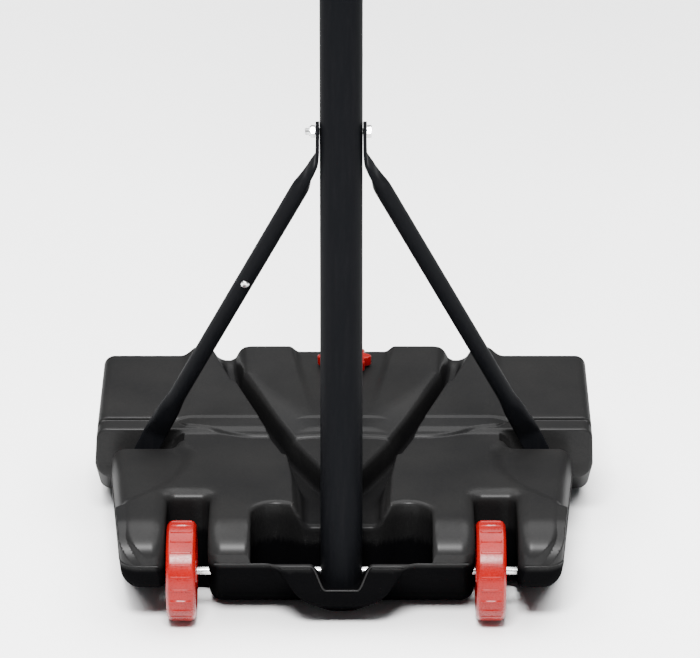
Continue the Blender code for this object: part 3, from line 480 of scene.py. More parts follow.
def settle(field: Field, points: Array, step: float, rounds: int = 4) -> Array:
    """Move points onto a field's zero surface by Newton's method, at most half a step each time.

    Args:
        field: the field.
        points: the points to move.
        step: the grid's step.
        rounds: how often they move.

    Returns:
        The moved points.
    """
    for _ in range(rounds):
        value, gradient = field_slope(field, points)
        square = np.maximum(np.sum(gradient ** 2, 1), 0.05)
        move = gradient * (value / square)[:, None]
        length = np.linalg.norm(move, axis=1, keepdims=True)
        points = points - move * np.minimum(1.0, 0.5 * step / np.maximum(length, 1e-9))
    return points


def cell_numbers(shape: tuple[int, int, int], active: Array) -> Array:
    """Number the active cells of a grid from 0, and the others -1.

    Args:
        shape: the grid's counts of cells.
        active: whether each cell is active.

    Returns:
        Each cell's number.
    """
    numbers = np.full(shape, -1, dtype=np.int64)
    numbers[active] = np.arange(int(active.sum()))
    return numbers


def net_surface(field: Field, low: Sequence[float], high: Sequence[float],
                step: float) -> tuple[Array, Array]:
    """Find the zero surface of a field as quads, one point in each cell that it crosses.

    The field is read at every grid point at once. A cell whose corners differ in sign gets a point,
    and each grid edge that changes sign joins the four cells round it into a quad.

    Args:
        field: function of x, y and z arrays, negative inside.
        low: lowest corner of the grid.
        high: highest corner of the grid.
        step: the grid's spacing.

    Returns:
        The points and the quads, facing outwards.
    """
    axes = [np.arange(a, b + step, step) for a, b in zip(low, high)]
    grid = np.meshgrid(*axes, indexing="ij")
    inside = field(*[g.ravel() for g in grid]).reshape(grid[0].shape) < 0
    corners = [inside[i:inside.shape[0] - 1 + i, j:inside.shape[1] - 1 + j, k:inside.shape[2] - 1 + k]
               for i in (0, 1) for j in (0, 1) for k in (0, 1)]
    count = np.sum(corners, 0)
    active = (count > 0) & (count < 8)
    numbers = cell_numbers(active.shape, active)
    places = np.argwhere(active)
    points = np.stack([axes[d][places[:, d]] + step / 2 for d in range(3)], -1)
    quads = []
    for d in range(3):
        e, f = (d + 1) % 3, (d + 2) % 3
        first = np.moveaxis(inside, (d, e, f), (0, 1, 2))
        crossing = first[:-1, 1:-1, 1:-1] != first[1:, 1:-1, 1:-1]
        cells = np.moveaxis(numbers, (d, e, f), (0, 1, 2))
        i, j, k = np.nonzero(crossing)
        quad = np.stack([cells[i, j, k], cells[i, j + 1, k], cells[i, j + 1, k + 1], cells[i, j, k + 1]], -1)
        leaving = first[i, j + 1, k + 1]
        quad = np.where(leaving[:, None], quad, quad[:, ::-1])
        quads.append(quad)
    return settle(field, points, step), np.concatenate(quads)


def field_object(name: str, field: Field, low: Sequence[float], high: Sequence[float], step: float,
                 triangles: int) -> bpy.types.Object:
    """Make a piece from a field, thinned where it is flat and shaded by the field's own slope.

    Args:
        name: the piece's name.
        field: the distance field in millimetres.
        low: lowest corner of its space.
        high: highest corner of its space.
        step: the spacing of the grid.
        triangles: about how many triangles to keep.

    Returns:
        The object.
    """
    points, quads = net_surface(field, low, high, step)
    raw = build_object(f"{name}_raw", points, quads.tolist(), Shading.SMOOTH)
    share = triangles / (2.0 * len(quads))
    if share < 1.0:
        thin = raw.modifiers.new("thin", "DECIMATE")
        thin.ratio = share
    evaluated = raw.evaluated_get(bpy.context.evaluated_depsgraph_get())
    mesh = bpy.data.meshes.new_from_object(evaluated)
    bpy.data.objects.remove(raw)
    place = np.empty(len(mesh.vertices) * 3)
    mesh.vertices.foreach_get("co", place)
    settled = settle(field, (place.reshape(-1, 3) - POLE_AXIS) / MM, step, 2)
    mesh.vertices.foreach_set("co", world(settled).ravel())
    mesh.name = name
    mesh.shade_smooth()
    mesh.update()
    gradient = field_slope(field, settled, 0.5)[1]
    gradient /= np.maximum(np.linalg.norm(gradient, axis=1, keepdims=True), 1e-9)
    mesh.normals_split_custom_set_from_vertices(gradient.tolist())
    made = bpy.data.objects.new(name, mesh)
    bpy.context.scene.collection.objects.link(made)
    return made


# ---------------------------------------------------------------- materials

class Value:
    """A socket in a material, with arithmetic that adds Math nodes."""

    def __init__(self, shader: "Shader", socket: bpy.types.NodeSocket) -> None:
        """Wrap a socket of a shader."""
        self.shader = shader
        self.socket = socket

    def math(self, operation: str, *others: Any) -> "Value":
        """Add a Math node on this value and the others."""
        return self.shader.add("ShaderNodeMath", {"operation": operation}, dict(enumerate((self, *others))))

    def __add__(self, other: Any) -> "Value":
        """Add."""
        return self.math("ADD", other)

    __radd__ = __add__

    def __mul__(self, other: Any) -> "Value":
        """Multiply."""
        return self.math("MULTIPLY", other)

    __rmul__ = __mul__

    def __sub__(self, other: Any) -> "Value":
        """Subtract."""
        return self.math("SUBTRACT", other)

    def __rsub__(self, other: Any) -> "Value":
        """Subtract this value from a number."""
        return self.shader.add("ShaderNodeMath", {"operation": "SUBTRACT"}, {0: other, 1: self})

    def __gt__(self, other: Any) -> "Value":
        """Return 1 where this value is greater."""
        return self.math("GREATER_THAN", other)

    def __lt__(self, other: Any) -> "Value":
        """Return 1 where this value is less."""
        return self.math("LESS_THAN", other)

    def clamp(self) -> "Value":
        """Limit to 0 to 1."""
        return self.math("MINIMUM", 1.0).math("MAXIMUM", 0.0)


class Shader:
    """A material's node tree around one Principled shader."""

    def __init__(self, name: str) -> None:
        """Make the material.

        Args:
            name: the material's name.
        """
        self.material = bpy.data.materials.new(name)
        self.material.use_nodes = True
        self.tree = self.material.node_tree
        self.surface = self.tree.nodes["Principled BSDF"]
        self.point = self.add("ShaderNodeTexCoord", {}, {}, "Object")

    def add(self, kind: str, settings: dict[str, Any], inputs: dict[Any, Any], output: Any = 0) -> Value:
        """Add a node.

        Args:
            kind: the node's type.
            settings: its properties, set first.
            inputs: values or links of its sockets, by number or name.
            output: which output to return.

        Returns:
            That output, wrapped.
        """
        node = self.tree.nodes.new(kind)
        for key, value in settings.items():
            setattr(node, key, value)
        for key, value in inputs.items():
            if isinstance(value, Value):
                self.tree.links.new(value.socket, node.inputs[key])
            else:
                node.inputs[key].default_value = value
        return Value(self, node.outputs[output])

    def noise(self, scale: float, detail: float = 2.0, roughness: float = 0.5,
              vector: Value | None = None) -> Value:
        """Add noise of a scale per metre."""
        return self.add("ShaderNodeTexNoise", {}, {"Vector": vector or self.point, "Scale": scale,
                                                   "Detail": detail, "Roughness": roughness})

    def stretched(self, scale: tuple[float, float, float]) -> Value:
        """Return the point with each direction scaled."""
        return self.add("ShaderNodeVectorMath", {"operation": "MULTIPLY"}, {0: self.point, 1: scale})

    def ramp(self, value: Value, low: float, high: float, start: float = 0.0, end: float = 1.0) -> Value:
        """Map a range of a value to start..end, clamped."""
        return self.add("ShaderNodeMapRange", {"clamp": True}, {0: value, 1: low, 2: high, 3: start, 4: end})

    def mix(self, factor: Any, first: Any, second: Any) -> Value:
        """Mix two colours."""
        return self.add("ShaderNodeMix", {"data_type": "RGBA"}, {0: factor, 6: colour(first),
                                                                 7: colour(second)}, 2)

    def axis(self, name: str) -> Value:
        """Return one coordinate of the point in metres."""
        return self.add("ShaderNodeSeparateXYZ", {}, {0: self.point}, name)

    def bump(self, height: Value, distance: float, strength: float = 1.0,
             normal: Value | None = None) -> Value:
        """Add a Bump node whose height of 1 is a distance in metres.

        Args:
            height: the height as a share of the distance.
            distance: the full height.
            strength: how much of the bump is used.
            normal: the normal that it adds to.

        Returns:
            The node's normal.
        """
        inputs: dict[str, Any] = {"Height": height, "Distance": distance, "Strength": strength}
        if normal is not None:
            inputs["Normal"] = normal
        return self.add("ShaderNodeBump", {}, inputs)

    def dress(self, **sockets: Any) -> None:
        """Set or link sockets of the Principled shader, named with underscores for spaces.

        Args:
            sockets: each socket's value or link.
        """
        for key, value in sockets.items():
            socket = self.surface.inputs[key.replace("_", " ")]
            if isinstance(value, Value):
                self.tree.links.new(value.socket, socket)
            elif isinstance(value, tuple):
                socket.default_value = colour(value)
            else:
                socket.default_value = value


def colour(value: Any) -> Any:
    """Give a colour its alpha; links and full colours stay.

    Args:
        value: three or four numbers, or a link.

    Returns:
        A colour of four numbers, or what was given.
    """
    if isinstance(value, tuple) and len(value) == 3:
        return (*value, 1.0)
    return value


@dataclass(frozen=True)
class MouldedPlastic:
    """Blown or moulded plastic with a fine stippled grain."""

    name: str
    base: tuple[float, float, float]
    light: tuple[float, float, float]
    # deep is the colour of painted shade, mixed in where the point attribute sunk is high
    deep: tuple[float, float, float]
    roughness: float
    grain: float
    grain_depth: float
    shine: float = 0.17

    def make(self) -> bpy.types.Material:
        """Build the material.

        Returns:
            A material whose colour drifts slowly, with a stippled bump, slow waves of shrinkage and painted
            shade.
        """
        shader = Shader(self.name)
        drift = shader.ramp(shader.noise(9.0, 3.0), 0.35, 0.65)
        speck = shader.ramp(shader.noise(self.grain * 0.6, 2.0), 0.35, 0.70)
        # sunk is painted shade in recesses and low on the front: it darkens the colour towards deep and thins
        # the coat
        sunk = shader.add("ShaderNodeAttribute", {"attribute_name": "sunk"}, {}, "Fac")
        shade = shader.mix((drift * 0.6 + speck * 0.4).clamp(), self.base, self.light)
        shade = shader.mix(sunk, shade, self.deep)
        stipple = shader.noise(self.grain, 2.0, 0.6)
        rough = shader.ramp(shader.noise(28.0, 2.0), 0.3, 0.7, self.roughness - 0.05, self.roughness + 0.06)
        waves = shader.bump(shader.noise(14.0, 1.0), 0.004, 0.25)
        shader.dress(Base_Color=shade, Roughness=rough, Specular_IOR_Level=0.0,
                     Coat_Weight=(1.0 - sunk) * self.shine, Coat_Roughness=self.roughness,
                     Normal=shader.bump(stipple, self.grain_depth, 1.0, waves))
        return shader.material


@dataclass(frozen=True)
class GlossPlastic:
    """Shiny injection-moulded plastic with faint flow marks and dust."""

    name: str
    base: tuple[float, float, float]
    deep: tuple[float, float, float]
    roughness: float = 0.26

    def make(self) -> bpy.types.Material:
        """Build the material.

        Returns:
            A glossy material with slight drift of colour and fine scuffs in its roughness.
        """
        shader = Shader(self.name)
        flow = shader.ramp(shader.noise(35.0, 3.0), 0.3, 0.7)
        scuff = shader.ramp(shader.noise(420.0, 4.0, 0.7), 0.45, 0.75, 0.0, 0.16)
        shader.dress(Base_Color=shader.mix(flow, self.base, self.deep), Roughness=scuff + self.roughness,
                     Normal=shader.bump(shader.noise(160.0, 2.0), 0.00035, 0.35),
                     Specular_IOR_Level=0.22)
        return shader.material


@dataclass(frozen=True)
class PowderCoat:
    """Baked powder paint on steel, with its orange peel."""

    name: str
    base: tuple[float, float, float]
    worn: tuple[float, float, float]
    roughness: float = 0.50
    shine: float = 0.014

    def make(self) -> bpy.types.Material:
        """Build the material.

        Returns:
            A satin paint with orange peel, and faint rubbed streaks along the tube.
        """
        shader = Shader(self.name)
        peel = shader.noise(900.0, 2.0, 0.5)
        streak = shader.ramp(shader.noise(30.0, 3.0, 0.6, shader.stretched((6.0, 6.0, 0.6))), 0.45, 0.75)
        rough = streak * 0.10 + self.roughness
        shader.dress(Base_Color=shader.mix(streak * 0.5, self.base, self.worn), Roughness=rough,
                     Specular_IOR_Level=self.shine, Normal=shader.bump(peel, 0.00012, 0.5))
        return shader.material


@dataclass(frozen=True)
class ZincPlate:
    """Bright zinc plating on steel."""

    name: str
    base: tuple[float, float, float] = (0.72, 0.73, 0.74)
    dull: tuple[float, float, float] = (0.50, 0.50, 0.49)

    def make(self) -> bpy.types.Material:
        """Build the material.

        Returns:
            A metal whose spangle changes its brightness and roughness in small patches.
        """
        shader = Shader(self.name)
        spangle = shader.ramp(shader.noise(650.0, 3.0, 0.6), 0.35, 0.65)
        shader.dress(Base_Color=shader.mix(spangle, self.base, self.dull), Metallic=1.0,
                     Roughness=shader.ramp(spangle, 0.0, 1.0, 0.22, 0.36),
                     Normal=shader.bump(shader.noise(1500.0), 0.00006, 0.5))
        return shader.material


@dataclass(frozen=True)
class BoardSheet:
    """White board with a printed border and target, laid out from the board's box."""

    name: str
    front: float
    half_width: float
    foot: float
    top: float
    target_half_width: float = 0.160
    target_rise: float = 0.138
    target_height: float = 0.240
    line: float = 0.014

    def make(self) -> bpy.types.Material:
        """Build the material.

        Returns:
            White plastic with red lines where a point of the front is inside an outer box and outside
            an inner one.
        """
        shader = Shader(self.name)
        across = shader.axis("X").math("ABSOLUTE")
        height = shader.axis("Z")
        target_foot = self.foot + self.target_rise
        border = self.band(across, height, self.half_width, self.foot, self.top)
        target = self.band(across, height, self.target_half_width, target_foot,
                           target_foot + self.target_height)
        printed = border.math("MAXIMUM", target) * (shader.axis("Y") < self.front)
        dust = shader.ramp(shader.noise(18.0, 4.0, 0.6), 0.3, 0.8)
        white = shader.mix(dust, (0.62, 0.62, 0.61), (0.54, 0.54, 0.525))
        ink = shader.mix(dust, (0.20, 0.003, 0.002), (0.16, 0.003, 0.002))
        shader.dress(Base_Color=shader.mix(printed, white, ink),
                     Roughness=shader.ramp(dust, 0.0, 1.0, 0.30, 0.42) + printed * 0.05,
                     Normal=shader.bump(shader.noise(500.0, 3.0), 0.0002, 0.4))
        return shader.material

    def band(self, across: Value, height: Value, half: float, foot: float, top: float) -> Value:
        """Return 1 on a rectangular line of this width, measured inwards from its outer box.

        Args:
            across: distance from the board's middle.
            height: height on the board.
            half: half the outer box's width.
            foot: its lower edge.
            top: its upper edge.

        Returns:
            The line's mask.
        """
        outer = (across < half) * (height > foot) * (height < top)
        inner = (across < half - self.line) * (height > foot + self.line) * (height < top - self.line)
        return outer * (1.0 - inner)


@dataclass(frozen=True)
class BraidedCord:
    """Cord of plaited white yarn."""

    name: str

    def make(self) -> bpy.types.Material:
        """Build the material.

        Returns:
            Off-white yarn whose diagonal strands rise and cross.
        """
        shader = Shader(self.name)
        weave = shader.add("ShaderNodeTexVoronoi", {}, {"Vector": shader.point, "Scale": 420.0})
        shade = shader.ramp(weave, 0.0, 0.7)
        shader.dress(Base_Color=shader.mix(shade, (0.78, 0.77, 0.73), (0.52, 0.51, 0.48)), Roughness=0.85,
                     Normal=shader.bump(weave, 0.0006, 0.8))
        return shader.material


@dataclass(frozen=True)
class StillWater:
    """The water inside the tank."""

    name: str

    def make(self) -> bpy.types.Material:
        """Build the material.

        Returns:
            Dark wet water with slow ripples.
        """
        shader = Shader(self.name)
        ripple = shader.noise(25.0, 2.0)
        shader.dress(Base_Color=shader.mix(ripple, (0.020, 0.030, 0.034), (0.035, 0.050, 0.055)),
                     Roughness=0.05, IOR=1.333, Normal=shader.bump(ripple, 0.002, 0.4))
        return shader.material


class Slot(Enum):
    """The record's material slots."""

    CHARCOAL = "charcoal_plastic"
    WATER = "fill_water"
    RUBBER = "seal_rubber"
    RED = "red_plastic"
    ZINC = "zinc_plate"
    STEEL = "black_powder_coat"
    TRIM = "black_trim_plastic"
    BOARD = "white_board"
    RIM = "red_powder_coat"
    CORD = "white_net_cord"


PRINT_DEPTH = 0.002     # the board's print is read down to this far behind its front
PRINT_INSET = 0.012     # of the printed border from the board's edge


class Workshop:
    """Holds the finishes, and puts every piece on its body with its slot and material."""

    def __init__(self) -> None:
        """Make all finishes."""
        board_low, board_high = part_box("backboard_panel")
        self.finishes: dict[Slot, bpy.types.Material] = {
            # the third colour of each moulded plastic is its painted shade; only the tank carries the sunk
            # mask that mixes it in
            Slot.CHARCOAL: MouldedPlastic("charcoal_plastic", (0.0062, 0.0062, 0.0064),
                                          (0.0098, 0.0096, 0.0094), (0.0007, 0.0007, 0.0009),
                                          0.34, 520.0, 0.00045).make(),
            Slot.WATER: StillWater("fill_water").make(),
            Slot.RUBBER: MouldedPlastic("seal_rubber", (0.006, 0.006, 0.006), (0.009, 0.009, 0.009),
                                        (0.004, 0.004, 0.004), 0.70, 900.0, 0.0002).make(),
            Slot.RED: GlossPlastic("red_plastic", (0.19, 0.0016, 0.0011), (0.14, 0.0012, 0.001)).make(),
            Slot.ZINC: ZincPlate("zinc_plate").make(),
            Slot.STEEL: PowderCoat("black_powder_coat", (0.0026, 0.0028, 0.0034),
                                   (0.0045, 0.0045, 0.0052)).make(),
            Slot.TRIM: MouldedPlastic("black_trim_plastic", (0.005, 0.005, 0.0055), (0.009, 0.009, 0.0095),
                                      (0.004, 0.004, 0.004), 0.50, 800.0, 0.00025).make(),
            Slot.BOARD: BoardSheet("white_board", board_low[1] + PRINT_DEPTH, board_high[0] - PRINT_INSET,
                                   board_low[2] + PRINT_INSET, board_high[2] - PRINT_INSET).make(),
            Slot.RIM: PowderCoat("red_powder_coat", (0.19, 0.0045, 0.0015), (0.15, 0.0035, 0.0012),
                                 0.34, 0.2).make(),
            Slot.CORD: BraidedCord("white_net_cord").make(),
        }
        self.count = 0

    def dress(self, piece: bpy.types.Object, slot: Slot) -> None:
        """Give an object its finish."""
        piece.data.materials.clear()
        piece.data.materials.append(self.finishes[slot])

    def fit(self, piece: bpy.types.Object, body: str, slot: Slot, *nodes: str) -> bpy.types.Object:
        """Put a finished piece on its body.

        Args:
            piece: the new object.
            body: the body it rides on.
            slot: its finish.
            nodes: the frame's nodes that it stands for.

        Returns:
            The piece.
        """
        self.dress(piece, slot)
        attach(piece, body)
        if nodes:
            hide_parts(*nodes)
        self.count += 1
        LOG.info("%s: %d faces on %s in %s", piece.name, len(piece.data.polygons), body, slot.value)
        return piece

    def dress_node(self, node: str, slot: Slot) -> None:
        """Give a frame node that stays its finish."""
        self.dress(frame["nodes"][node], slot)
        LOG.info("%s: frame node in %s", node, slot.value)


# ---------------------------------------------------------------- the tank

@dataclass
class Tank:
    """The blow-moulded base tank: an upper and a lower half that meet in a parting line."""

    parting: float = 88.0
    front: float = -45.0
    rear: float = 478.0
    front_half: float = 262.0
    block_rear: float = 239.0
    wing_front: float = 262.0
    wing_left: float = 306.5
    wing_right: float = 312.0
    deck_front: float = 128.0
    slot_centre: float = 184.5
    slot_half: float = 25.5
    slot_rear: float = 80.0
    axle_height: float = 63.0
    cap_x: float = 3.0
    bead_radius: float = 1.1
    water_gap: float = 5.5
    crease_depth: float = 246.0
    block_flare: float = 0.081
    deck_front_slope: float = 0.016
    deck_rear_slope: float = 0.129
    deck_rear_foot: float = 135.0
    wing_slope: float = 0.052
    wing_top: float = 136.5
    wing_crease_floor: float = 135.2
    scallop_x: float = 79.0
    scallop_y: float = 22.0
    scallop_radius: float = 29.5
    recess_floor: float = 38.5
    well_radius: float = 30.5
    well_floor: float = 37.6
    keel_rear: float = 110.0
    bore_radius: float = 5.5
    cap_y: float = 432.0
    neck_radius: float = 23.0
    neck_bore: float = 19.0
    groove_depths: tuple[float, ...] = (-60.0, 48.0, 130.0, 195.0, 198.5, 289.0, 380.5, 384.5, 430.0, 490.0)
    groove_edges: tuple[float, ...] = (55.0, 56.0, 59.0, 66.0, 71.5, 101.0, 131.5, 137.5, 152.0, 172.0)
    panel_depths: tuple[float, ...] = (-60.0, 100.0, 130.0, 172.0, 298.0, 408.0, 490.0)
    panel_edges: tuple[float, ...] = (-30.0, -4.0, 10.0, 29.0, 81.0, 123.5, 127.0)

    def block_half(self, y: Array) -> Array:
        """Half width of the front block, which widens to the rear."""
        return self.front_half + (y - self.front) * self.block_flare

    def riser(self, ax: Array) -> Array:
        """Depth of the crease across the deck, which runs back towards the wings."""
        outwards = 22.0 * smooth_step(ax, 105.0, 190.0) + 20.0 * smooth_step(ax, 188.0, 214.0)
        return self.crease_depth + outwards

    def deck(self, ax: Array, y: Array) -> Array:
        """Height of the deck's ribs: nearly flat in front of the crease, then rising to the rear.

        Args:
            ax: the points' distances from the middle.
            y: their places from front to back.

        Returns:
            The heights.
        """
        front = self.deck_front + self.deck_front_slope * y
        back = self.deck_rear_foot + (y - self.crease_depth) * self.deck_rear_slope
        step = smooth_step(y - self.riser(ax), -1.0, 3.0)
        return front + (back - front) * step

    def shoulder_edge(self, y: Array) -> Array:
        """Half width of the raised deck, which flares out over the front block."""
        flare = np.clip((190.0 - y) / 92.0, 0.0, 3.0)
        return 189.0 + 34.0 * flare ** 2 + 13.0 * smooth_step(y, 205.0, 240.0)

    def wheel_slot(self, ax: Array, y: Array) -> Array:
        """Field of each wheel's slot, open to the front."""
        return both(np.abs(ax - self.slot_centre) - self.slot_half, y - self.slot_rear, 10.0)

    def groove(self, ax: Array, y: Array, z: Array, deck: Array) -> Array:
        """Field of one arm of the V of grooves, which widens into the trough behind the pole.

        Args:
            ax: the points' distances from the middle.
            y: their places from front to back.
            z: their heights.
            deck: the deck's heights there.

        Returns:
            The field, below zero inside.
        """
        edge = np.interp(y, self.groove_depths, self.groove_edges)
        panel = np.interp(y, self.panel_depths, self.panel_edges)
        at_rear = smooth_step(y, 415.0, 470.0)
        steep = 0.57 - 0.45 * smooth_step(y, 90.0, 200.0) + 0.50 * at_rear
        floor = deck - 34.0 + 13.0 * at_rear + 10.0 * (1 - smooth_step(y, 60.0, 170.0))
        outer = (ax - edge + steep * (deck - z)) / np.sqrt(1 + steep ** 2)
        bank = 0.16 + 0.36 * at_rear
        inner = (panel - ax - bank * (z - deck)) / np.sqrt(1 + bank ** 2)
        channel = both(both(outer, inner, 3.0), floor - z, 5.0)
        reach = 22.0 - 15.0 * smooth_step(y, 250.0, 400.0)
        lean = 3.0 / reach
        ramp = (panel - reach - ax) * lean - (z - deck)
        soft = both(outer, ramp / np.sqrt(1 + lean ** 2), 2.0)
        return either(channel, soft, 5.0)

    def recess(self, ax: Array, y: Array, z: Array) -> Array:
        """Field of the recess behind the lip, with a round scallop each side of the pole.

        Args:
            ax: the points' distances from the middle.
            y: their places from front to back.
            z: their heights.

        Returns:
            The field, below zero inside.
        """
        aside, behind = ax - self.scallop_x, np.maximum(y - self.scallop_y, 0.0)
        scallop = np.hypot(aside, behind) - self.scallop_radius
        band = both(ax - 66.0, y - 37.5, 2.0)
        plan = either(scallop, band, 9.0)
        slope = (53.0 - z - y) / math.sqrt(2.0)
        front = either(slope, self.parting - z, 3.0)
        return both(both(plan, front, 2.5), self.recess_floor - z, 4.0)

    def dip(self, ax: Array, y: Array, z: Array) -> Array:
        """Field of the U-shaped dip in the lip in front of the pole."""
        side = line_side(ax, z, (20.5, 57.0), (34.5, 88.0))
        return both(both(side, 55.0 - z, 9.0), y - 5.0)

    def shell_upper(self, x: Array, y: Array, z: Array) -> Array:
        """Field of the upper half's outside, before anything is sunk into it.

        Args:
            x: the points' places across the tank.
            y: their places from front to back.
            z: their heights.

        Returns:
            The field, below zero inside.
        """
        ax = np.abs(x)
        above = z - self.parting
        deck = self.deck(ax, y)
        fold = 31.0 + (y - 268.0) * 0.143
        sunk = smooth_step(y, 255.0, 440.0) * (1 - smooth_step(ax, fold - 7.0, fold + 7.0))
        raised = z - deck + 8.5 * sunk
        wing_half = np.where(x < 0, self.wing_left, self.wing_right)
        wing_draft = np.where(x < 0, 0.06, 0.03)
        edge = self.shoulder_edge(y) - 6.0 * smooth_step(y, self.wing_front, 300.0)
        core = both(raised, (ax - edge) * 0.80 + above * 0.10 - 6.0, 12.0)
        side = ax - self.block_half(y) + 0.05 * above
        shoulder_top = self.deck_front - 0.5 - 5.0 * smooth_step(y, 100.0, 245.0)
        block = both(z - shoulder_top, side, 17.0)
        block = either(block, both(core, side, 14.0), 8.0)
        block = both(block, y - self.block_rear + 0.06 * above, 5.0)
        crease = self.riser(np.full_like(ax, 260.0))
        wing_riser = 3.5 * smooth_step(y - crease, -1.0, 3.0)
        wing_top = z - (self.wing_top + wing_riser + (y - self.wing_front) * self.wing_slope)
        wing_side = ax - wing_half + wing_draft * above
        wing = both(both(wing_top, wing_side, 13.0), self.wing_front - y + 0.04 * above, 2.4)
        body = np.minimum(block, either(core, wing, 9.0))
        rear = y - self.rear - 2.0 + 0.04 * above
        body = both(body, rear, 7.0)
        return both(body, self.front - y + 0.16 * above, 46.0)

    def upper(self, x: Array, y: Array, z: Array) -> Array:
        """Field of everything that the upper half of the mould forms.

        Args:
            x: the points' places across the tank.
            y: their places from front to back.
            z: their heights.

        Returns:
            The field, below zero inside.
        """
        ax = np.abs(x)
        deck = self.deck(ax, y)
        body = self.shell_upper(x, y, z)
        line = np.abs(y - self.riser(ax)) * 0.85 - 1.2
        wing_floor = self.wing_crease_floor + (y - self.wing_front) * self.wing_slope
        crease = both(line, np.where(ax > 204.0, wing_floor, FAR) - z, 0.8)
        body = without(body, crease, 1.0)
        body = without(body, self.groove(ax, y, z, deck), 2.6)
        neck_top = local(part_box("filler_gasket")[0])[2] - 0.3
        place = np.hypot(x - self.cap_x, y - self.cap_y)
        neck = both(place - self.neck_radius, z - neck_top, 1.5)
        body = either(body, both(neck, 120.0 - z), 2.5)
        body = without(body, self.recess(ax, y, z), 7.0)
        body = without(body, self.dip(ax, y, z), 3.0)
        well = both(np.hypot(x, y) - self.well_radius, self.well_floor - z, 2.0)
        body = without(body, well, 2.0)
        return without(body, self.wheel_slot(ax, y), 17.0)

    def shell_lower(self, x: Array, y: Array, z: Array) -> Array:
        """Field of the lower half's outside.

        Args:
            x: the points' places across the tank.
            y: their places from front to back.
            z: their heights.

        Returns:
            The field, below zero inside.
        """
        ax = np.abs(x)
        below = self.parting - z
        front = self.front - y + 0.02 * below
        middle = line_side(-y, -z, (45.0, -self.parting), (-43.0, 0.0))
        outer = line_side(-y, -z, (45.0, -60.0), (-112.0, 0.0))
        rise = np.where(ax < self.slot_centre, middle, outer)
        under = both(rise, -z, 14.0)
        side = ax - self.block_half(y) + 0.06 * below
        block = both(both(side, front, 22.0), y - self.block_rear + 0.05 * below, 5.0)
        wing_half = np.where(x < 0, self.wing_left, self.wing_right)
        wing_side = line_side(-ax, -z, (-1.0, -1.0), (0.0, 0.0)) + (self.parting - wing_half) / math.sqrt(2.0)
        wing_side = both(wing_side, ax - wing_half, 6.0)
        wing_rise = line_side(-y, -z, (-262.0, -76.0), (-382.0, 0.0))
        wing = both(both(wing_side, self.wing_front - y + 0.05 * below, 6.0), wing_rise, 16.0)
        core = both(ax - 195.0, front, 10.0)
        rear = y - self.rear - 2.0 + 0.06 * below
        walls = both(np.minimum(np.minimum(block, wing), core), rear, 18.0)
        body = both(walls, under, 22.0)
        keel_side = line_side(ax, z, (33.0, 13.0), (82.0, 92.0))
        keel_rise = line_side(-y, -z, (45.0, -38.0), (-20.0, 0.0))
        keel = both(both(both(keel_side, front, 8.0), keel_rise, 16.0), both(-z, y - self.keel_rear), 4.0)
        return np.maximum(either(body, keel, 10.0), -z)

    def lower(self, x: Array, y: Array, z: Array) -> Array:
        """Field of everything that the lower half of the mould forms, with round edges at the slots.

        Args:
            x: the points' places across the tank.
            y: their places from front to back.
            z: their heights.

        Returns:
            The field, below zero inside.
        """
        ax = np.abs(x)
        body = self.shell_lower(x, y, z)
        slot = self.wheel_slot(ax, y)
        round_edge = np.where(ax < self.slot_centre, 18.0, 8.0)
        u = np.maximum(body + round_edge, 0.0)
        v = np.maximum(-slot + round_edge, 0.0)
        return np.minimum(np.maximum(body, -slot), -round_edge) + np.sqrt(u * u + v * v)

    def shell(self, x: Array, y: Array, z: Array) -> Array:
        """Field of the outside of both halves."""
        return np.maximum(self.shell_upper(x, y, z), self.shell_lower(x, y, z))

    def field(self, x: Array, y: Array, z: Array) -> Array:
        """Field of the whole tank: what lies inside both halves, less its bores.

        Args:
            x: the points' places across the tank.
            y: their places from front to back.
            z: their heights.

        Returns:
            The field, below zero inside.
        """
        body = np.maximum(self.upper(x, y, z), self.lower(x, y, z))
        bore = both(np.hypot(y, z - self.axle_height) - self.bore_radius, 90.0 - np.abs(x))
        neck = both(np.hypot(x - self.cap_x, y - self.cap_y) - self.neck_bore, 138.0 - z)
        return without(without(body, bore, 0.6), neck, 1.0)

    def parting_height(self, x: Array, y: Array) -> Array:
        """Height of the parting line, which follows the dip in the lip."""
        dip = np.clip((36.0 - np.abs(x)) / 17.0, 0.0, 1.0)
        return self.parting - 31.5 * smooth_step(dip, 0.0, 1.0) * (1 - smooth_step(y, -5.0, 20.0))

    def edge(self, start: Array, way: Array) -> Array:
        """Where rays meet the outside at the parting line, by halving the length start + way * share.

        Args:
            start: points inside the tank, rows of x and y.
            way: the rays, whose ends lie outside.

        Returns:
            Points x, y, z on the outside.
        """
        low, high = np.zeros(len(start)), np.ones(len(start))
        for _ in range(22):
            middle = (low + high) / 2
            x, y = (start + way * middle[:, None]).T
            inside = self.shell(x, y, self.parting_height(x, y)) < 0
            low, high = np.where(inside, middle, low), np.where(inside, high, middle)
        x, y = (start + way * low[:, None]).T
        return np.stack([x, y, self.parting_height(x, y)], -1)

    def bead(self, name: str, path: Array, shop: Workshop) -> None:
        """Make a length of the raised line where the halves meet: a round bar sunk in the wall.

        Args:
            name: the piece's name.
            path: the bar's middle line.
            shop: the workshop that finishes each piece.
        """
        along = np.gradient(path, axis=0)
        along[:, 2] = 0
        away = np.cross(along, (0.0, 0.0, 1.0))
        bar = build_object(name, *swept(path, circle(self.bead_radius, 8), away), Shading.SMOOTH)
        shop.fit(bar, "base", Slot.CHARCOAL)

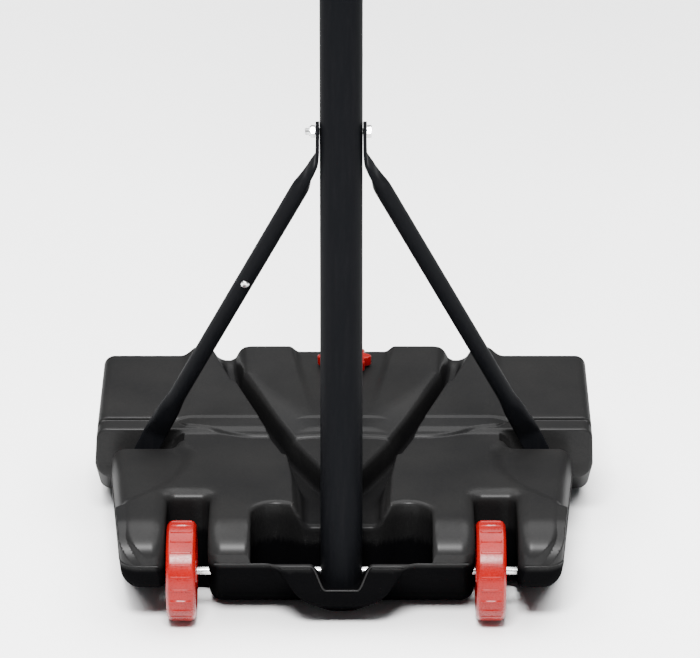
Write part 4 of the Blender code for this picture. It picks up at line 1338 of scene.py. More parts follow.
    def beads(self, shop: Workshop) -> None:
        """Make the parting line's bead across the front and round the front block's corners.

        Args:
            shop: the workshop that finishes each piece.
        """
        across = np.linspace(-152.0, 152.0, 153)
        start = np.stack([across, np.full_like(across, 4.0)], -1)
        self.bead("parting_bead_front", self.edge(start, np.array([[0.0, -80.0]])), shop)
        front = np.linspace(217.0, 236.0, 10)
        side = np.linspace(-16.0, 232.0, 60)
        turn = np.linspace(0.0, 1.0, 14)[1:-1] * math.pi / 2
        start = np.concatenate([np.stack([front, front * 0.0 - 16.0], -1), np.repeat([[236.0, -16.0]], 12, 0),
                                np.stack([side * 0.0 + 236.0, side], -1)])
        way = np.concatenate([np.repeat([[0.0, -60.0]], 10, 0),
                              np.stack([np.sin(turn), -np.cos(turn)], -1) * 60.0,
                              np.repeat([[90.0, 0.0]], 60, 0)])
        self.bead("parting_bead_right", self.edge(start, way), shop)
        mirror = np.array([[-1.0, 1.0]])
        self.bead("parting_bead_left", self.edge(start * mirror, way * mirror), shop)

    def build(self, shop: Workshop) -> None:
        """Make the tank, the bead along its parting line and the water inside.

        The points carry how sunk they are, as painted shade: from 0 on the open outside to 1 deep in a recess
        or low on the front, where the colour is painted darker and the finish duller.

        Args:
            shop: where the pieces go.
        """
        step = 2.2
        tank = field_object("tank_shell", self.field, (-320, -54, -6), (322, 488, 176), step, 190_000)
        place = np.empty(len(tank.data.vertices) * 3)
        tank.data.vertices.foreach_get("co", place)
        x, y, z = ((place.reshape(-1, 3) - POLE_AXIS) / MM).T
        # painted shade in recesses: the further a point lies inside the uncut shell, the darker its colour
        recess_shade = 0.55 * smooth_step(-self.shell(x, y, z), 4.0, 30.0)
        # painted shade on the front below the parting line, fading out towards the rear
        under = 0.93 * smooth_step(self.parting - z, -2.0, 8.0) * (1 - smooth_step(y, 100.0, 200.0))
        sunk = tank.data.attributes.new("sunk", "FLOAT", "POINT")
        sunk.data.foreach_set("value", np.maximum(recess_shade, under))
        shop.fit(tank, "base", Slot.CHARCOAL, "base_tank")
        self.beads(shop)
        water = field_object("water_fill", lambda x, y, z: self.field(x, y, z) + self.water_gap,
                             (-310, -45, 0), (310, 480, 170), 6.0, 9_000)
        shop.fit(water, "base", Slot.WATER, "ballast_water")


# ---------------------------------------------------------------- shared small parts

def hex_head(centre: Sequence[float], axis: Axis, low: float, high: float, flat: float,
             chamfers: tuple[bool, bool] = (False, True)) -> tuple[Array, list[list[int]]]:
    """Make a hexagonal head or nut whose corners are cut by a cone at its ends.

    At height h and angle a the radius is the smaller of the hexagon's, flat / cos(a - middle of the
    side), and the cone's, which grows from 0.97 * flat at the end by 1.7 mm for each millimetre.

    Args:
        centre: a point on its axis.
        axis: its direction.
        low: height of its lower face.
        high: height of its upper face.
        flat: half its width across the flats.
        chamfers: whether the lower and the upper end are chamfered.

    Returns:
        The points and the faces.
    """
    steps = 96
    angle = np.arange(steps) * TAU / steps
    side = flat / np.cos((angle % (math.pi / 3)) - math.pi / 6)
    depth = np.array([0.0, 0.15, 0.35, 0.6, 0.9, 1.25])
    lower = depth if chamfers[0] else np.array([0.0])
    upper = depth if chamfers[1] else np.array([0.0])
    heights = np.concatenate([low + lower, high - upper[::-1]])
    limits = np.concatenate([
        0.97 * flat + 1.7 * lower if chamfers[0] else [9e9],
        0.97 * flat + 1.7 * upper[::-1] if chamfers[1] else [9e9],
    ])
    radius = np.minimum(side[None, :], limits[:, None])
    rings = np.stack([radius * np.cos(angle), radius * np.sin(angle),
                      np.repeat(heights[:, None], steps, 1)], -1)
    return skin(axis.place(rings, centre))


def threaded(centre: Sequence[float], axis: Axis, low: float, high: float, radius: float,
             pitch: float = 1.25) -> tuple[Array, list[list[int]]]:
    """Make a threaded rod with tapered ends.

    The radius is r - 0.3 * pitch * |1 - 2 * fraction(h / pitch - a / turn)|, less a cone at each end.

    Args:
        centre: a point on its axis.
        axis: its direction.
        low: height of one end.
        high: height of the other.
        radius: outer radius of the thread.
        pitch: rise in one turn.

    Returns:
        The points and the faces.
    """
    steps = 32
    count = max(4, int((high - low) / pitch * 8))
    heights = np.linspace(low, high, count)[:, None]
    angle = (np.arange(steps) * TAU / steps)[None, :]
    wave = np.abs(1.0 - 2.0 * np.mod(heights / pitch - angle / TAU, 1.0))
    end = np.minimum(heights - low, high - heights)
    r = np.minimum(radius - 0.3 * pitch * wave, radius - 0.9 + 1.2 * end)
    rings = np.stack([r * np.cos(angle), r * np.sin(angle), np.broadcast_to(heights, r.shape)], -1)
    return skin(axis.place(rings, centre))


def rod(centre: Sequence[float], axis: Axis, low: float, high: float, radius: float,
        edge: float = 0.4, steps: int = 40) -> tuple[Array, list[list[int]]]:
    """Make a round bar with rounded ends."""
    profile = fillet([(0.0, low, 0.0), (radius, low, edge), (radius, high, edge), (0.0, high, 0.0)], 4)
    return turned(profile, centre, axis, steps)


def lobed(radius: float, depth: float, lobes: int, steps: int) -> Array:
    """Return the outline radius - depth + depth * cos(lobes * angle), flattened between its lobes.

    Args:
        radius: the largest radius.
        depth: half of how far the outline dips.
        lobes: how many lobes.
        steps: points in the outline.

    Returns:
        The outline's points.
    """
    angle = np.arange(steps) * TAU / steps
    wave = np.cos(lobes * angle)
    r = radius - depth + depth * np.sign(wave) * np.abs(wave) ** 0.7
    return np.stack([r * np.cos(angle), r * np.sin(angle)], -1)


# ---------------------------------------------------------------- filler cap

@dataclass
class FillerCap:
    """The lobed red cap on the tank's neck, and its gasket."""

    lobes: int = 8
    lobe_depth: float = 3.2
    crown_edge: float = 2.0

    def build(self, shop: Workshop) -> None:
        """Make the cap with a raised rim and a grip bar, and its gasket.

        Args:
            shop: the workshop that finishes each piece.
        """
        low, high = node_span("filler_cap")
        centre = ((low[0] + high[0]) / 2, (low[1] + high[1]) / 2, 0.0)
        radius = (high[0] - low[0]) / 2
        skirt = plate(lobed(radius, self.lobe_depth, self.lobes, 192), low[2], high[2], self.crown_edge,
                      Axis.Z, centre, 4)
        foot, crown = high[2] - 1.0, high[2] + 1.2
        rim = turned(fillet([(22.5, foot, 0.0), (22.5, crown, 0.8), (19.5, crown, 0.8),
                             (19.5, foot, 0.0)], 3), centre, Axis.Z, 72, True)
        bar = fillet([(-17.0, -3.0, 3.0), (17.0, -3.0, 3.0), (17.0, 3.0, 3.0), (-17.0, 3.0, 3.0)], 5, True)
        grip = plate(bar, foot, high[2] + 1.6, 1.0, Axis.Z, centre)
        cap = build_object("cap_body", *merge([skirt, rim, grip]))
        shop.fit(cap, "filler_cap", Slot.RED, "filler_cap")
        low, high = node_span("filler_gasket")
        inner, outer = 19.6, (high[0] - low[0]) / 2
        ring = fillet([(outer, low[2], 0.8), (outer, high[2], 0.8), (inner, high[2], 0.8),
                       (inner, low[2], 0.8)], 3, True)
        shop.fit(build_object("gasket_ring", *turned(ring, centre, Axis.Z, 64, True)), "cap_seal",
                 Slot.RUBBER, "filler_gasket")


# ---------------------------------------------------------------- axle and wheels

@dataclass
class RunningGear:
    """The two ribbed wheels, their axle and its end caps."""

    ribs: int = 24
    rib_half: float = 1.7
    rib_height: float = 1.1
    spokes: int = 6
    bore: float = 5.3
    tread_half: float = 12.6

    def wheel(self, side: str, shop: Workshop) -> None:
        """Make one wheel as a ring of profiles.

        The profile runs from the bore over the hub, the web and the rim to the tread, and back on the
        other side. Where it lies on the web, spokes raise it by 5 mm; where it lies on the tread, ribs
        raise it by their height.

        Args:
            side: left or right.
            shop: where the piece goes.
        """
        low, high = node_span(f"wheel_{side}")
        centre = (low + high) / 2
        radius, half = (high[2] - low[2]) / 2, (high[0] - low[0]) / 2
        base = radius - self.rib_height
        corners = [(self.bore, 0.0, 0.0), (self.bore, half, 0.5), (13.8, half, 0.8), (15.0, 6.2, 2.5),
                   (44.0, 6.2, 2.5), (47.6, half - 1.2, 1.0), (49.2, half - 0.4, 0.8),
                   (base - 4.6, half - 0.4, 3.5), (base - 0.2, half - 3.6, 3.0),
                   (base, self.tread_half + 0.2, 1.0), (base, self.tread_half, 0.0),
                   (base, self.tread_half - 0.9, 0.0), (base, 4.0, 0.0), (base, 0.0, 0.0)]
        right = fillet(corners, 5)
        line = np.concatenate([right, (right * [1, -1])[::-1][1:-1]])
        steps = self.ribs * 16
        angle = (np.arange(steps) * TAU / steps)[None, :]
        r, w = line[:, :1], line[:, 1:]
        pitch = TAU / self.ribs
        offset = np.abs(np.mod(angle + pitch / 2, pitch) - pitch / 2) * radius
        rib = 1.0 - smooth_step(offset, self.rib_half * 0.55, self.rib_half)
        on_tread = (np.abs(w) < self.tread_half - 0.3) & (r > base - 0.5)
        spoke_pitch = TAU / self.spokes
        spoke_offset = np.abs(np.mod(angle, spoke_pitch) - spoke_pitch / 2) * r
        spoke = 1.0 - smooth_step(spoke_offset, 3.0, 4.6)
        on_web = smooth_step(r, 14.2, 16.5) * (1 - smooth_step(r, 44.5, 46.5))
        raised_r = r + on_tread * rib * self.rib_height
        raised_w = w + np.sign(w) * on_web * spoke * 6.5
        rings = np.stack([raised_r * np.cos(angle), raised_r * np.sin(angle), raised_w], -1)
        made = build_object(f"wheel_{side}_body", *skin(Axis.X.place(rings, centre), True))
        shop.fit(made, f"wheel_{side}", Slot.RED, f"wheel_{side}")

    def build(self, shop: Workshop) -> None:
        """Make the wheels, the axle and the caps.

        Args:
            shop: the workshop that finishes each piece.
        """
        for side in ("left", "right"):
            self.wheel(side, shop)
        low, high = node_span("wheel_axle")
        middle = (0.0, (low[1] + high[1]) / 2, (low[2] + high[2]) / 2)
        radius = (high[2] - low[2]) / 2
        axle = build_object("axle_rod", *rod(middle, Axis.X, low[0], high[0], radius, 0.5))
        shop.fit(axle, "base", Slot.ZINC, "wheel_axle")
        for side in ("left", "right"):
            low, high = node_span(f"axle_cap_{side}")
            ends = (high[0], low[0]) if side == "left" else (low[0], high[0])
            sign = 1.0 if side == "right" else -1.0
            profile = fillet([(0.0, ends[0], 0.0), (radius, ends[0], 0.2),
                              (radius, ends[1] - 1.4 * sign, 0.8), (radius * 0.6, ends[1] - 0.3 * sign, 1.5),
                              (0.0, ends[1], 0.0)], 4)
            cap = build_object(f"axle_cap_{side}_dome", *turned(profile, middle, Axis.X, 32))
            shop.fit(cap, "base", Slot.TRIM, f"axle_cap_{side}")


# ---------------------------------------------------------------- pole

@dataclass
class Pole:
    """The lower pole, its collar and the clamp knob."""

    wall: float = 1.5
    collar_wall: float = 6.0

    def tube(self, name: str, node: str, slot: Slot, body: str, shop: Workshop) -> None:
        """Make an upright tube with rolled ends from a node's box.

        Args:
            name: the piece's name.
            node: the node whose box it fills.
            slot: its kind of material.
            body: the body that it rides on.
            shop: the workshop that finishes each piece.
        """
        low, high = node_span(node)
        outer = (high[0] - low[0]) / 2
        inner = outer - self.wall
        loop = fillet([(outer, low[2], 0.7), (outer, high[2], 0.7), (inner, high[2], 0.7),
                       (inner, low[2], 0.7)], 3, True)
        shop.fit(build_object(name, *turned(loop, (0.0, 0.0, 0.0), Axis.Z, 96, True)), body, slot, node)

    def build(self, shop: Workshop) -> None:
        """Make the pole, the collar with its boss, the screw and the knob.

        Args:
            shop: the workshop that finishes each piece.
        """
        self.tube("lower_tube", "lower_pole", Slot.STEEL, "base", shop)
        pole_low, pole_high = node_span("lower_pole")
        radius = (pole_high[0] - pole_low[0]) / 2
        low, high = node_span("pole_collar")
        outer = radius + self.collar_wall
        guide = 22.7
        seat = pole_high[2] + 0.3
        foot, top = low[2], high[2]
        profile = fillet([(guide, top, 0.8), (outer - 3.0, top, 2.0), (outer, top - 5.0, 3.0),
                          (outer, top - 20.0, 1.0), (outer - 1.2, top - 21.5, 0.8),
                          (outer - 1.2, foot + 14.0, 0.8),
                          (outer, foot + 12.5, 1.0), (outer, foot, 1.2), (radius + 0.3, foot, 0.6),
                          (radius + 0.3, seat, 0.0), (guide, seat, 0.0)], 4, True)
        screw_low, screw_high = node_span("clamp_screw")
        height = (screw_low[2] + screw_high[2]) / 2
        middle = (0.0, 0.0, height)
        boss = rod(middle, Axis.Y, radius + 3.0, high[1], 10.0, 1.2, 48)
        collar = build_object("collar_sleeve", *merge([turned(profile, (0, 0, 0), Axis.Z, 96, True), boss]))
        shop.fit(collar, "base", Slot.TRIM, "pole_collar")
        screw = build_object("clamp_stud", *threaded(middle, Axis.Y, screw_low[1], screw_high[1], 4.0))
        shop.fit(screw, "clamp_knob", Slot.ZINC, "clamp_screw")
        low, high = node_span("clamp_knob")
        outline = lobed((high[0] - low[0]) / 2, 3.2, 6, 180)
        grip = plate(outline, low[1] + 4.0, high[1], 2.5, Axis.Y, middle, 5)
        neck = rod(middle, Axis.Y, low[1], low[1] + 5.0, 11.0, 0.8, 48)
        face = high[1]
        dome = turned(fillet([(0.0, face - 1.0, 0.0), (10.0, face - 1.0, 0.0), (9.4, face + 0.8, 0.8),
                              (0.0, face + 1.2, 0.0)], 4), middle, Axis.Y, 48)
        shop.fit(build_object("knob_grip", *merge([grip, neck, dome])), "clamp_knob", Slot.TRIM, "clamp_knob")


# ---------------------------------------------------------------- struts

@dataclass(frozen=True)
class Station:
    """One section of a strut: its middle, its half sizes and the way it is thin."""

    centre: tuple[float, float, float]
    wide: float
    thin: float
    direction: tuple[float, float, float]


@dataclass
class Struts:
    """The two struts from the pole to the tank, and their bolts."""

    radius: float = 10.5
    plate_half: float = 2.2
    plate_wide: float = 14.5
    samples: int = 14
    sides: int = 40
    screw_share: float = 0.416
    shoulder_at: int = 4
    ankle_at: int = 10

    def stations(self) -> list[Station]:
        """Return the sections of the right strut, from its top end to its foot.

        Returns:
            The sections in that order.
        """
        pole_low, pole_high = node_span("lower_pole")
        bolt_low, bolt_high = node_span("strut_bolt")
        foot_high = node_span("strut_right")[1]
        bolt = (bolt_low[2] + bolt_high[2]) / 2
        top_x = (pole_high[0] - pole_low[0]) / 2 + 0.3 + self.plate_half
        foot_bolt = (node_span("foot_bolt_right")[0] + node_span("foot_bolt_right")[1]) / 2
        foot_x, foot_z = foot_bolt[0], foot_bolt[2]
        foot_y = foot_high[1] - self.plate_half
        shoulder = np.array([top_x + 0.5, 3.0, bolt - 35.0])
        ankle = np.array([foot_x - 12.5, foot_y, foot_z + 46.0])

        def between(share: float) -> tuple[float, float, float]:
            """Return a point on the straight middle of the strut."""
            return tuple(shoulder + (ankle - shoulder) * share)

        plate_half, r = self.plate_half, self.radius
        return [
            Station((top_x, 0.0, bolt + 9.5), 8.0, plate_half, (1, 0, 0)),
            Station((top_x, 0.0, bolt + 7.0), 12.0, plate_half, (1, 0, 0)),
            Station((top_x, 0.0, bolt), 13.5, plate_half, (1, 0, 0)),
            Station((top_x, 0.5, bolt - 12.0), 13.5, plate_half, (1, 0, 0)),
            Station(tuple(shoulder), 13.5, plate_half, (1, 0.02, 0.1)),
            Station(between(0.04), 13.0, 4.6, (1, 0.02, 0.25)),
            Station(between(0.10), r, r, (1, 0.0, 0.35)),
            Station(between(0.50), r, r, (1, -0.6, 0.3)),
            Station(between(0.84), r, r, (0.1, -1, -0.5)),
            Station(between(0.92), 13.5, 7.0, (0.05, -1, -0.5)),
            Station(tuple(ankle), self.plate_wide, plate_half, (0.0, -1, -0.2)),
            Station((foot_x, foot_y, foot_z + 20.0), self.plate_wide, plate_half, (0, -1, 0)),
            Station((foot_x, foot_y, foot_z - 9.0), self.plate_wide, plate_half, (0, -1, 0)),
            Station((foot_x, foot_y, foot_z - 14.0), self.plate_wide - 4.0, plate_half, (0, -1, 0)),
        ]

    def surface(self, side: float) -> tuple[Array, list[list[int]]]:
        """Loft a strut through its stations.

        A section is a superellipse |u / wide| ** (2 / p) + |v / thin| ** (2 / p) = 1, whose power p goes
        from 1 for the round tube to 0.35 for the flattened ends. Sizes and directions between stations
        follow a smooth step; the middle follows straight lines whose corners are rounded.

        Args:
            side: 1 for the right strut and -1 for the left one.

        Returns:
            The points and the faces.
        """
        stations = self.stations()
        raw = np.array([[*s.centre, s.wide, s.thin, *s.direction] for s in stations])
        share = np.linspace(0, 1, self.samples + 1)[:-1]
        eased = share * share * (3 - 2 * share)
        rows = []
        for first, second in zip(raw[:-1], raw[1:]):
            straight = first[:3] + (second[:3] - first[:3]) * share[:, None]
            rest = first[3:] + (second[3:] - first[3:]) * eased[:, None]
            rows.append(np.concatenate([straight, rest], 1))
        table = np.concatenate(rows + [raw[-1:]])
        for _ in range(3):
            middle = table[1:-1, :3] * 0.5 + (table[:-2, :3] + table[2:, :3]) * 0.25
            table = np.concatenate([table[:1], np.concatenate([middle, table[1:-1, 3:]], 1), table[-1:]])
        centre, wide, thin, direction = table[:, :3], table[:, 3], table[:, 4], table[:, 5:]
        along = np.gradient(centre, axis=0)
        along /= np.linalg.norm(along, axis=1, keepdims=True)
        v_way = direction - along * np.sum(direction * along, 1, keepdims=True)
        v_way /= np.linalg.norm(v_way, axis=1, keepdims=True)
        u_way = np.cross(along, v_way)
        power = 0.35 + 0.65 * smooth_step(thin / wide, 0.2, 0.95)
        angle = (np.arange(self.sides) + 0.5) * TAU / self.sides
        u = np.sign(np.cos(angle)) * np.abs(np.cos(angle))[None, :] ** power[:, None] * wide[:, None]
        v = np.sign(np.sin(angle)) * np.abs(np.sin(angle))[None, :] ** power[:, None] * thin[:, None]
        rings = centre[:, None] + u_way[:, None] * u[..., None] + v_way[:, None] * v[..., None]
        rings[..., 0] *= side
        return skin(rings)

    def screw(self, shop: Workshop) -> None:
        """Make the pan-head screw in the front of the left strut, with a dark cross laid on it as painted
        shade of a cross recess.

        Args:
            shop: the workshop that finishes each piece.
        """
        stations = self.stations()
        shoulder = np.array(stations[self.shoulder_at].centre)
        ankle = np.array(stations[self.ankle_at].centre)
        along = (ankle - shoulder) / np.linalg.norm(ankle - shoulder)
        centre = shoulder + (ankle - shoulder) * self.screw_share
        outward = np.array([0.0, -1.0, 0.0]) - along * -along[1]
        outward /= np.linalg.norm(outward)
        across = np.cross(along, outward)
        frame_of_head = np.stack([across, along, outward]) * np.array([-1, 1, 1])
        centre = centre * np.array([-1, 1, 1])
        face = self.radius + 0.3
        dome = fillet([(0.0, face - 4.0, 0.0), (4.2, face - 4.0, 0.0), (5.0, face, 0.3),
                       (4.7, face + 2.0, 1.2), (2.6, face + 2.9, 2.0), (0.0, face + 3.0, 0.0)], 4)
        points, faces = turned(dome, (0.0, 0.0, 0.0), Axis.Z, 40)
        head = build_object("strut_screw_head", centre + points @ frame_of_head, faces)
        shop.fit(head, "base", Slot.ZINC, "strut_screw")
        # a thin cross of black trim plastic on the dome paints the shade of a cross recess
        arms = []
        for turn in (0.6, 0.6 + math.pi / 2):
            ways = np.array([[math.cos(turn), math.sin(turn)], [-math.sin(turn), math.cos(turn)]])
            outline = np.array([[-2.3, -0.5], [2.3, -0.5], [2.3, 0.5], [-2.3, 0.5]]) @ ways
            arm_points, arm_faces = plate(outline, face + 2.0, face + 3.06, 0.0, Axis.Z)
            arms.append((centre + arm_points @ frame_of_head, arm_faces))
        shop.fit(build_object("strut_screw_cross_shade", *merge(arms)), "base", Slot.TRIM)

    def build(self, shop: Workshop) -> None:
        """Make both struts with every bolt and nut that holds them.

        Args:
            shop: the workshop that finishes each piece.
        """
        for side, name in ((-1.0, "left"), (1.0, "right")):
            points, faces = self.surface(side)
            shop.fit(build_object(f"strut_{name}_tube", points, faces), "base", Slot.STEEL, f"strut_{name}")
            low, high = node_span(f"foot_bolt_{name}")
            centre = ((low[0] + high[0]) / 2, 0.0, (low[2] + high[2]) / 2)
            head_foot = high[1] - 5.3
            head = hex_head(centre, Axis.Y, head_foot, high[1], 6.5)
            shank = threaded(centre, Axis.Y, low[1], head_foot + 0.5, 4.0)
            shop.fit(build_object(f"foot_bolt_{name}_hex", *merge([head, shank])), "base", Slot.ZINC,
                     f"foot_bolt_{name}")
            shop.dress_node(f"foot_insert_{name}", Slot.ZINC)
        cross_bolt("strut_bolt", "strut_nut", "base", shop)
        self.screw(shop)


def cross_bolt(bolt: str, nut: str, body: str, shop: Workshop) -> None:
    """Make a bolt that runs from right to left with its lock nut.

    Args:
        bolt: the bolt's node.
        nut: the nut's node.
        body: the body both ride on.
        shop: where the pieces go.
    """
    low, high = node_span(bolt)
    nut_low, nut_high = node_span(nut)
    centre = (0.0, (low[1] + high[1]) / 2, (low[2] + high[2]) / 2)
    head = hex_head(centre, Axis.X, high[0] - 5.3, high[0], 6.5)
    flange = rod(centre, Axis.X, high[0] - 5.3, high[0] - 4.6, 6.3, 0.2)
    shank = threaded(centre, Axis.X, low[0], high[0] - 5.0, 4.0)
    shop.fit(build_object(f"{bolt}_hex", *merge([head, flange, shank])), body, Slot.ZINC, bolt)
    hexes = hex_head(centre, Axis.X, nut_low[0] + 1.8, nut_high[0], 6.5, (True, True))
    crown = rod(centre, Axis.X, nut_low[0], nut_low[0] + 2.2, 5.5, 0.8)
    shop.fit(build_object(f"{nut}_hex", *merge([hexes, crown])), body, Slot.ZINC, nut)


# ---------------------------------------------------------------- mast, board, rim and net

@dataclass
class Mast:
    """The upper pole with its cap, the board's brackets and their bolts."""

    sheet: float = 3.0
    edge: float = 0.7

    def bracket(self, side: str, shop: Workshop) -> None:
        """Make one bracket: a tall web beside the pole and a flange against the board.

        Args:
            side: left or right.
            shop: the workshop that finishes each piece.
        """
        low, high = node_span(f"board_bracket_{side}")
        sign = 1.0 if side == "right" else -1.0
        inner = high[0] if sign < 0 else low[0]
        near, far = sorted((inner, inner + sign * self.sheet))
        web = fillet([(low[1], low[2], 0.0), (high[1], low[2] + 22.0, 14.0), (high[1], high[2] - 22.0, 14.0),
                      (low[1], high[2], 0.0)], 6, True)
        flange_edge = (low[0] if sign < 0 else high[0])
        a, b = sorted((inner, flange_edge))
        flange = fillet([(low[2], a, 3.0), (high[2], a, 3.0), (high[2], b, 3.0), (low[2], b, 3.0)], 4, True)
        pieces = [plate(web, near, far, self.edge, Axis.X),
                  plate(flange, low[1], low[1] + self.sheet, self.edge, Axis.Y)]
        shop.fit(build_object(f"board_bracket_{side}_sheet", *merge(pieces)), "mast", Slot.STEEL,
                 f"board_bracket_{side}")

    def build(self, pole: Pole, shop: Workshop) -> None:
        """Make the upper tube, its cap, the brackets and the two through bolts.

        Args:
            pole: the pole, which has the method for tubes.
            shop: the workshop that finishes each piece.
        """
        pole.tube("upper_tube", "upper_pole", Slot.STEEL, "mast", shop)
        low, high = node_span("pole_top_cap")
        tube_top = node_span("upper_pole")[1][2]
        radius = (high[0] - low[0]) / 2
        profile = fillet([(0.0, low[2], 0.0), (20.0, low[2], 1.0), (20.0, tube_top + 0.3, 0.0),
                          (radius, tube_top + 0.3, 0.3), (radius, tube_top + 3.0, 2.0),
                          (radius * 0.6, high[2] - 0.6, 6.0), (0.0, high[2], 0.0)], 5)
        shop.fit(build_object("top_cap_plug", *turned(profile, (0, 0, 0), Axis.Z, 72)), "mast", Slot.TRIM,
                 "pole_top_cap")
        for side in ("left", "right"):
            self.bracket(side, shop)
        for label in ("lower", "upper"):
            cross_bolt(f"mast_bolt_{label}", f"mast_nut_{label}", "mast", shop)


@dataclass
class Backboard:
    """The board, the rails behind it and the bolts through it."""

    corner: float = 30.0
    edge: float = 1.4
    rail_wall: float = 2.4

    def rail(self, name: str, shop: Workshop) -> None:
        """Make one rail as a channel that opens to the rear, with a rib along its middle.

        Args:
            name: the rail's name.
            shop: the workshop that finishes each piece.
        """
        low, high = node_span(name)
        upright = high[2] - low[2] > high[0] - low[0]
        across = (low[0], high[0]) if upright else (low[2], high[2])
        length = (low[2], high[2]) if upright else (low[0], high[0])
        front, rear, wall = low[1], high[1], self.rail_wall
        near, far = across
        middle = (near + far) / 2
        section = [(near, front, 1.0), (far, front, 1.0), (far, rear, 0.8), (far - wall, rear, 0.8),
                   (far - wall, front + wall, 0.8), (middle + 1.2, front + wall, 0.8),
                   (middle + 1.2, rear - 5.0, 0.6), (middle - 1.2, rear - 5.0, 0.6),
                   (middle - 1.2, front + wall, 0.8), (near + wall, front + wall, 0.8),
                   (near + wall, rear, 0.8), (near, rear, 0.8)]
        if upright:
            surface = plate(fillet(section, 3, True), *length, 0.6, Axis.Z)
        else:
            turned_section = [(v, u, radius) for u, v, radius in section]
            surface = plate(fillet(turned_section[::-1], 3, True), *length, 0.6, Axis.X)
        shop.fit(build_object(f"{name}_channel", *surface), "mast", Slot.TRIM, name)

    def build(self, shop: Workshop) -> None:
        """Make the panel, its rails, bolts and nuts.

        Args:
            shop: the workshop that finishes each piece.
        """
        low, high = node_span("backboard_panel")
        corner = self.corner
        outline = fillet([(low[2], low[0], corner), (high[2], low[0], corner), (high[2], high[0], corner),
                          (low[2], high[0], corner)], 10, True)
        panel = plate(outline, low[1], high[1], self.edge, Axis.Y)
        shop.fit(build_object("backboard_sheet", *panel), "mast", Slot.BOARD, "backboard_panel")
        for edge in ("left", "right", "top", "bottom"):
            self.rail(f"board_rail_{edge}", shop)
        for number in range(1, 5):
            low, high = node_span(f"board_bolt_{number}")
            centre = ((low[0] + high[0]) / 2, 0.0, (low[2] + high[2]) / 2)
            face = low[1] + 3.0
            head = turned(fillet([(0.0, low[1], 0.0), (4.4, low[1] + 0.6, 2.0), (6.5, face - 0.4, 0.6),
                                  (6.5, face, 0.0), (0.0, face, 0.0)], 5), centre, Axis.Y, 48)
            shank = threaded(centre, Axis.Y, face - 0.5, high[1], 3.0, 1.0)
            shop.fit(build_object(f"board_bolt_{number}_head", *merge([head, shank])), "mast", Slot.ZINC,
                     f"board_bolt_{number}")
            low, high = node_span(f"board_nut_{number}")
            nut = hex_head(centre, Axis.Y, low[1], high[1], 5.0, (True, True))
            shop.fit(build_object(f"board_nut_{number}_hex", *nut), "mast", Slot.ZINC, f"board_nut_{number}")


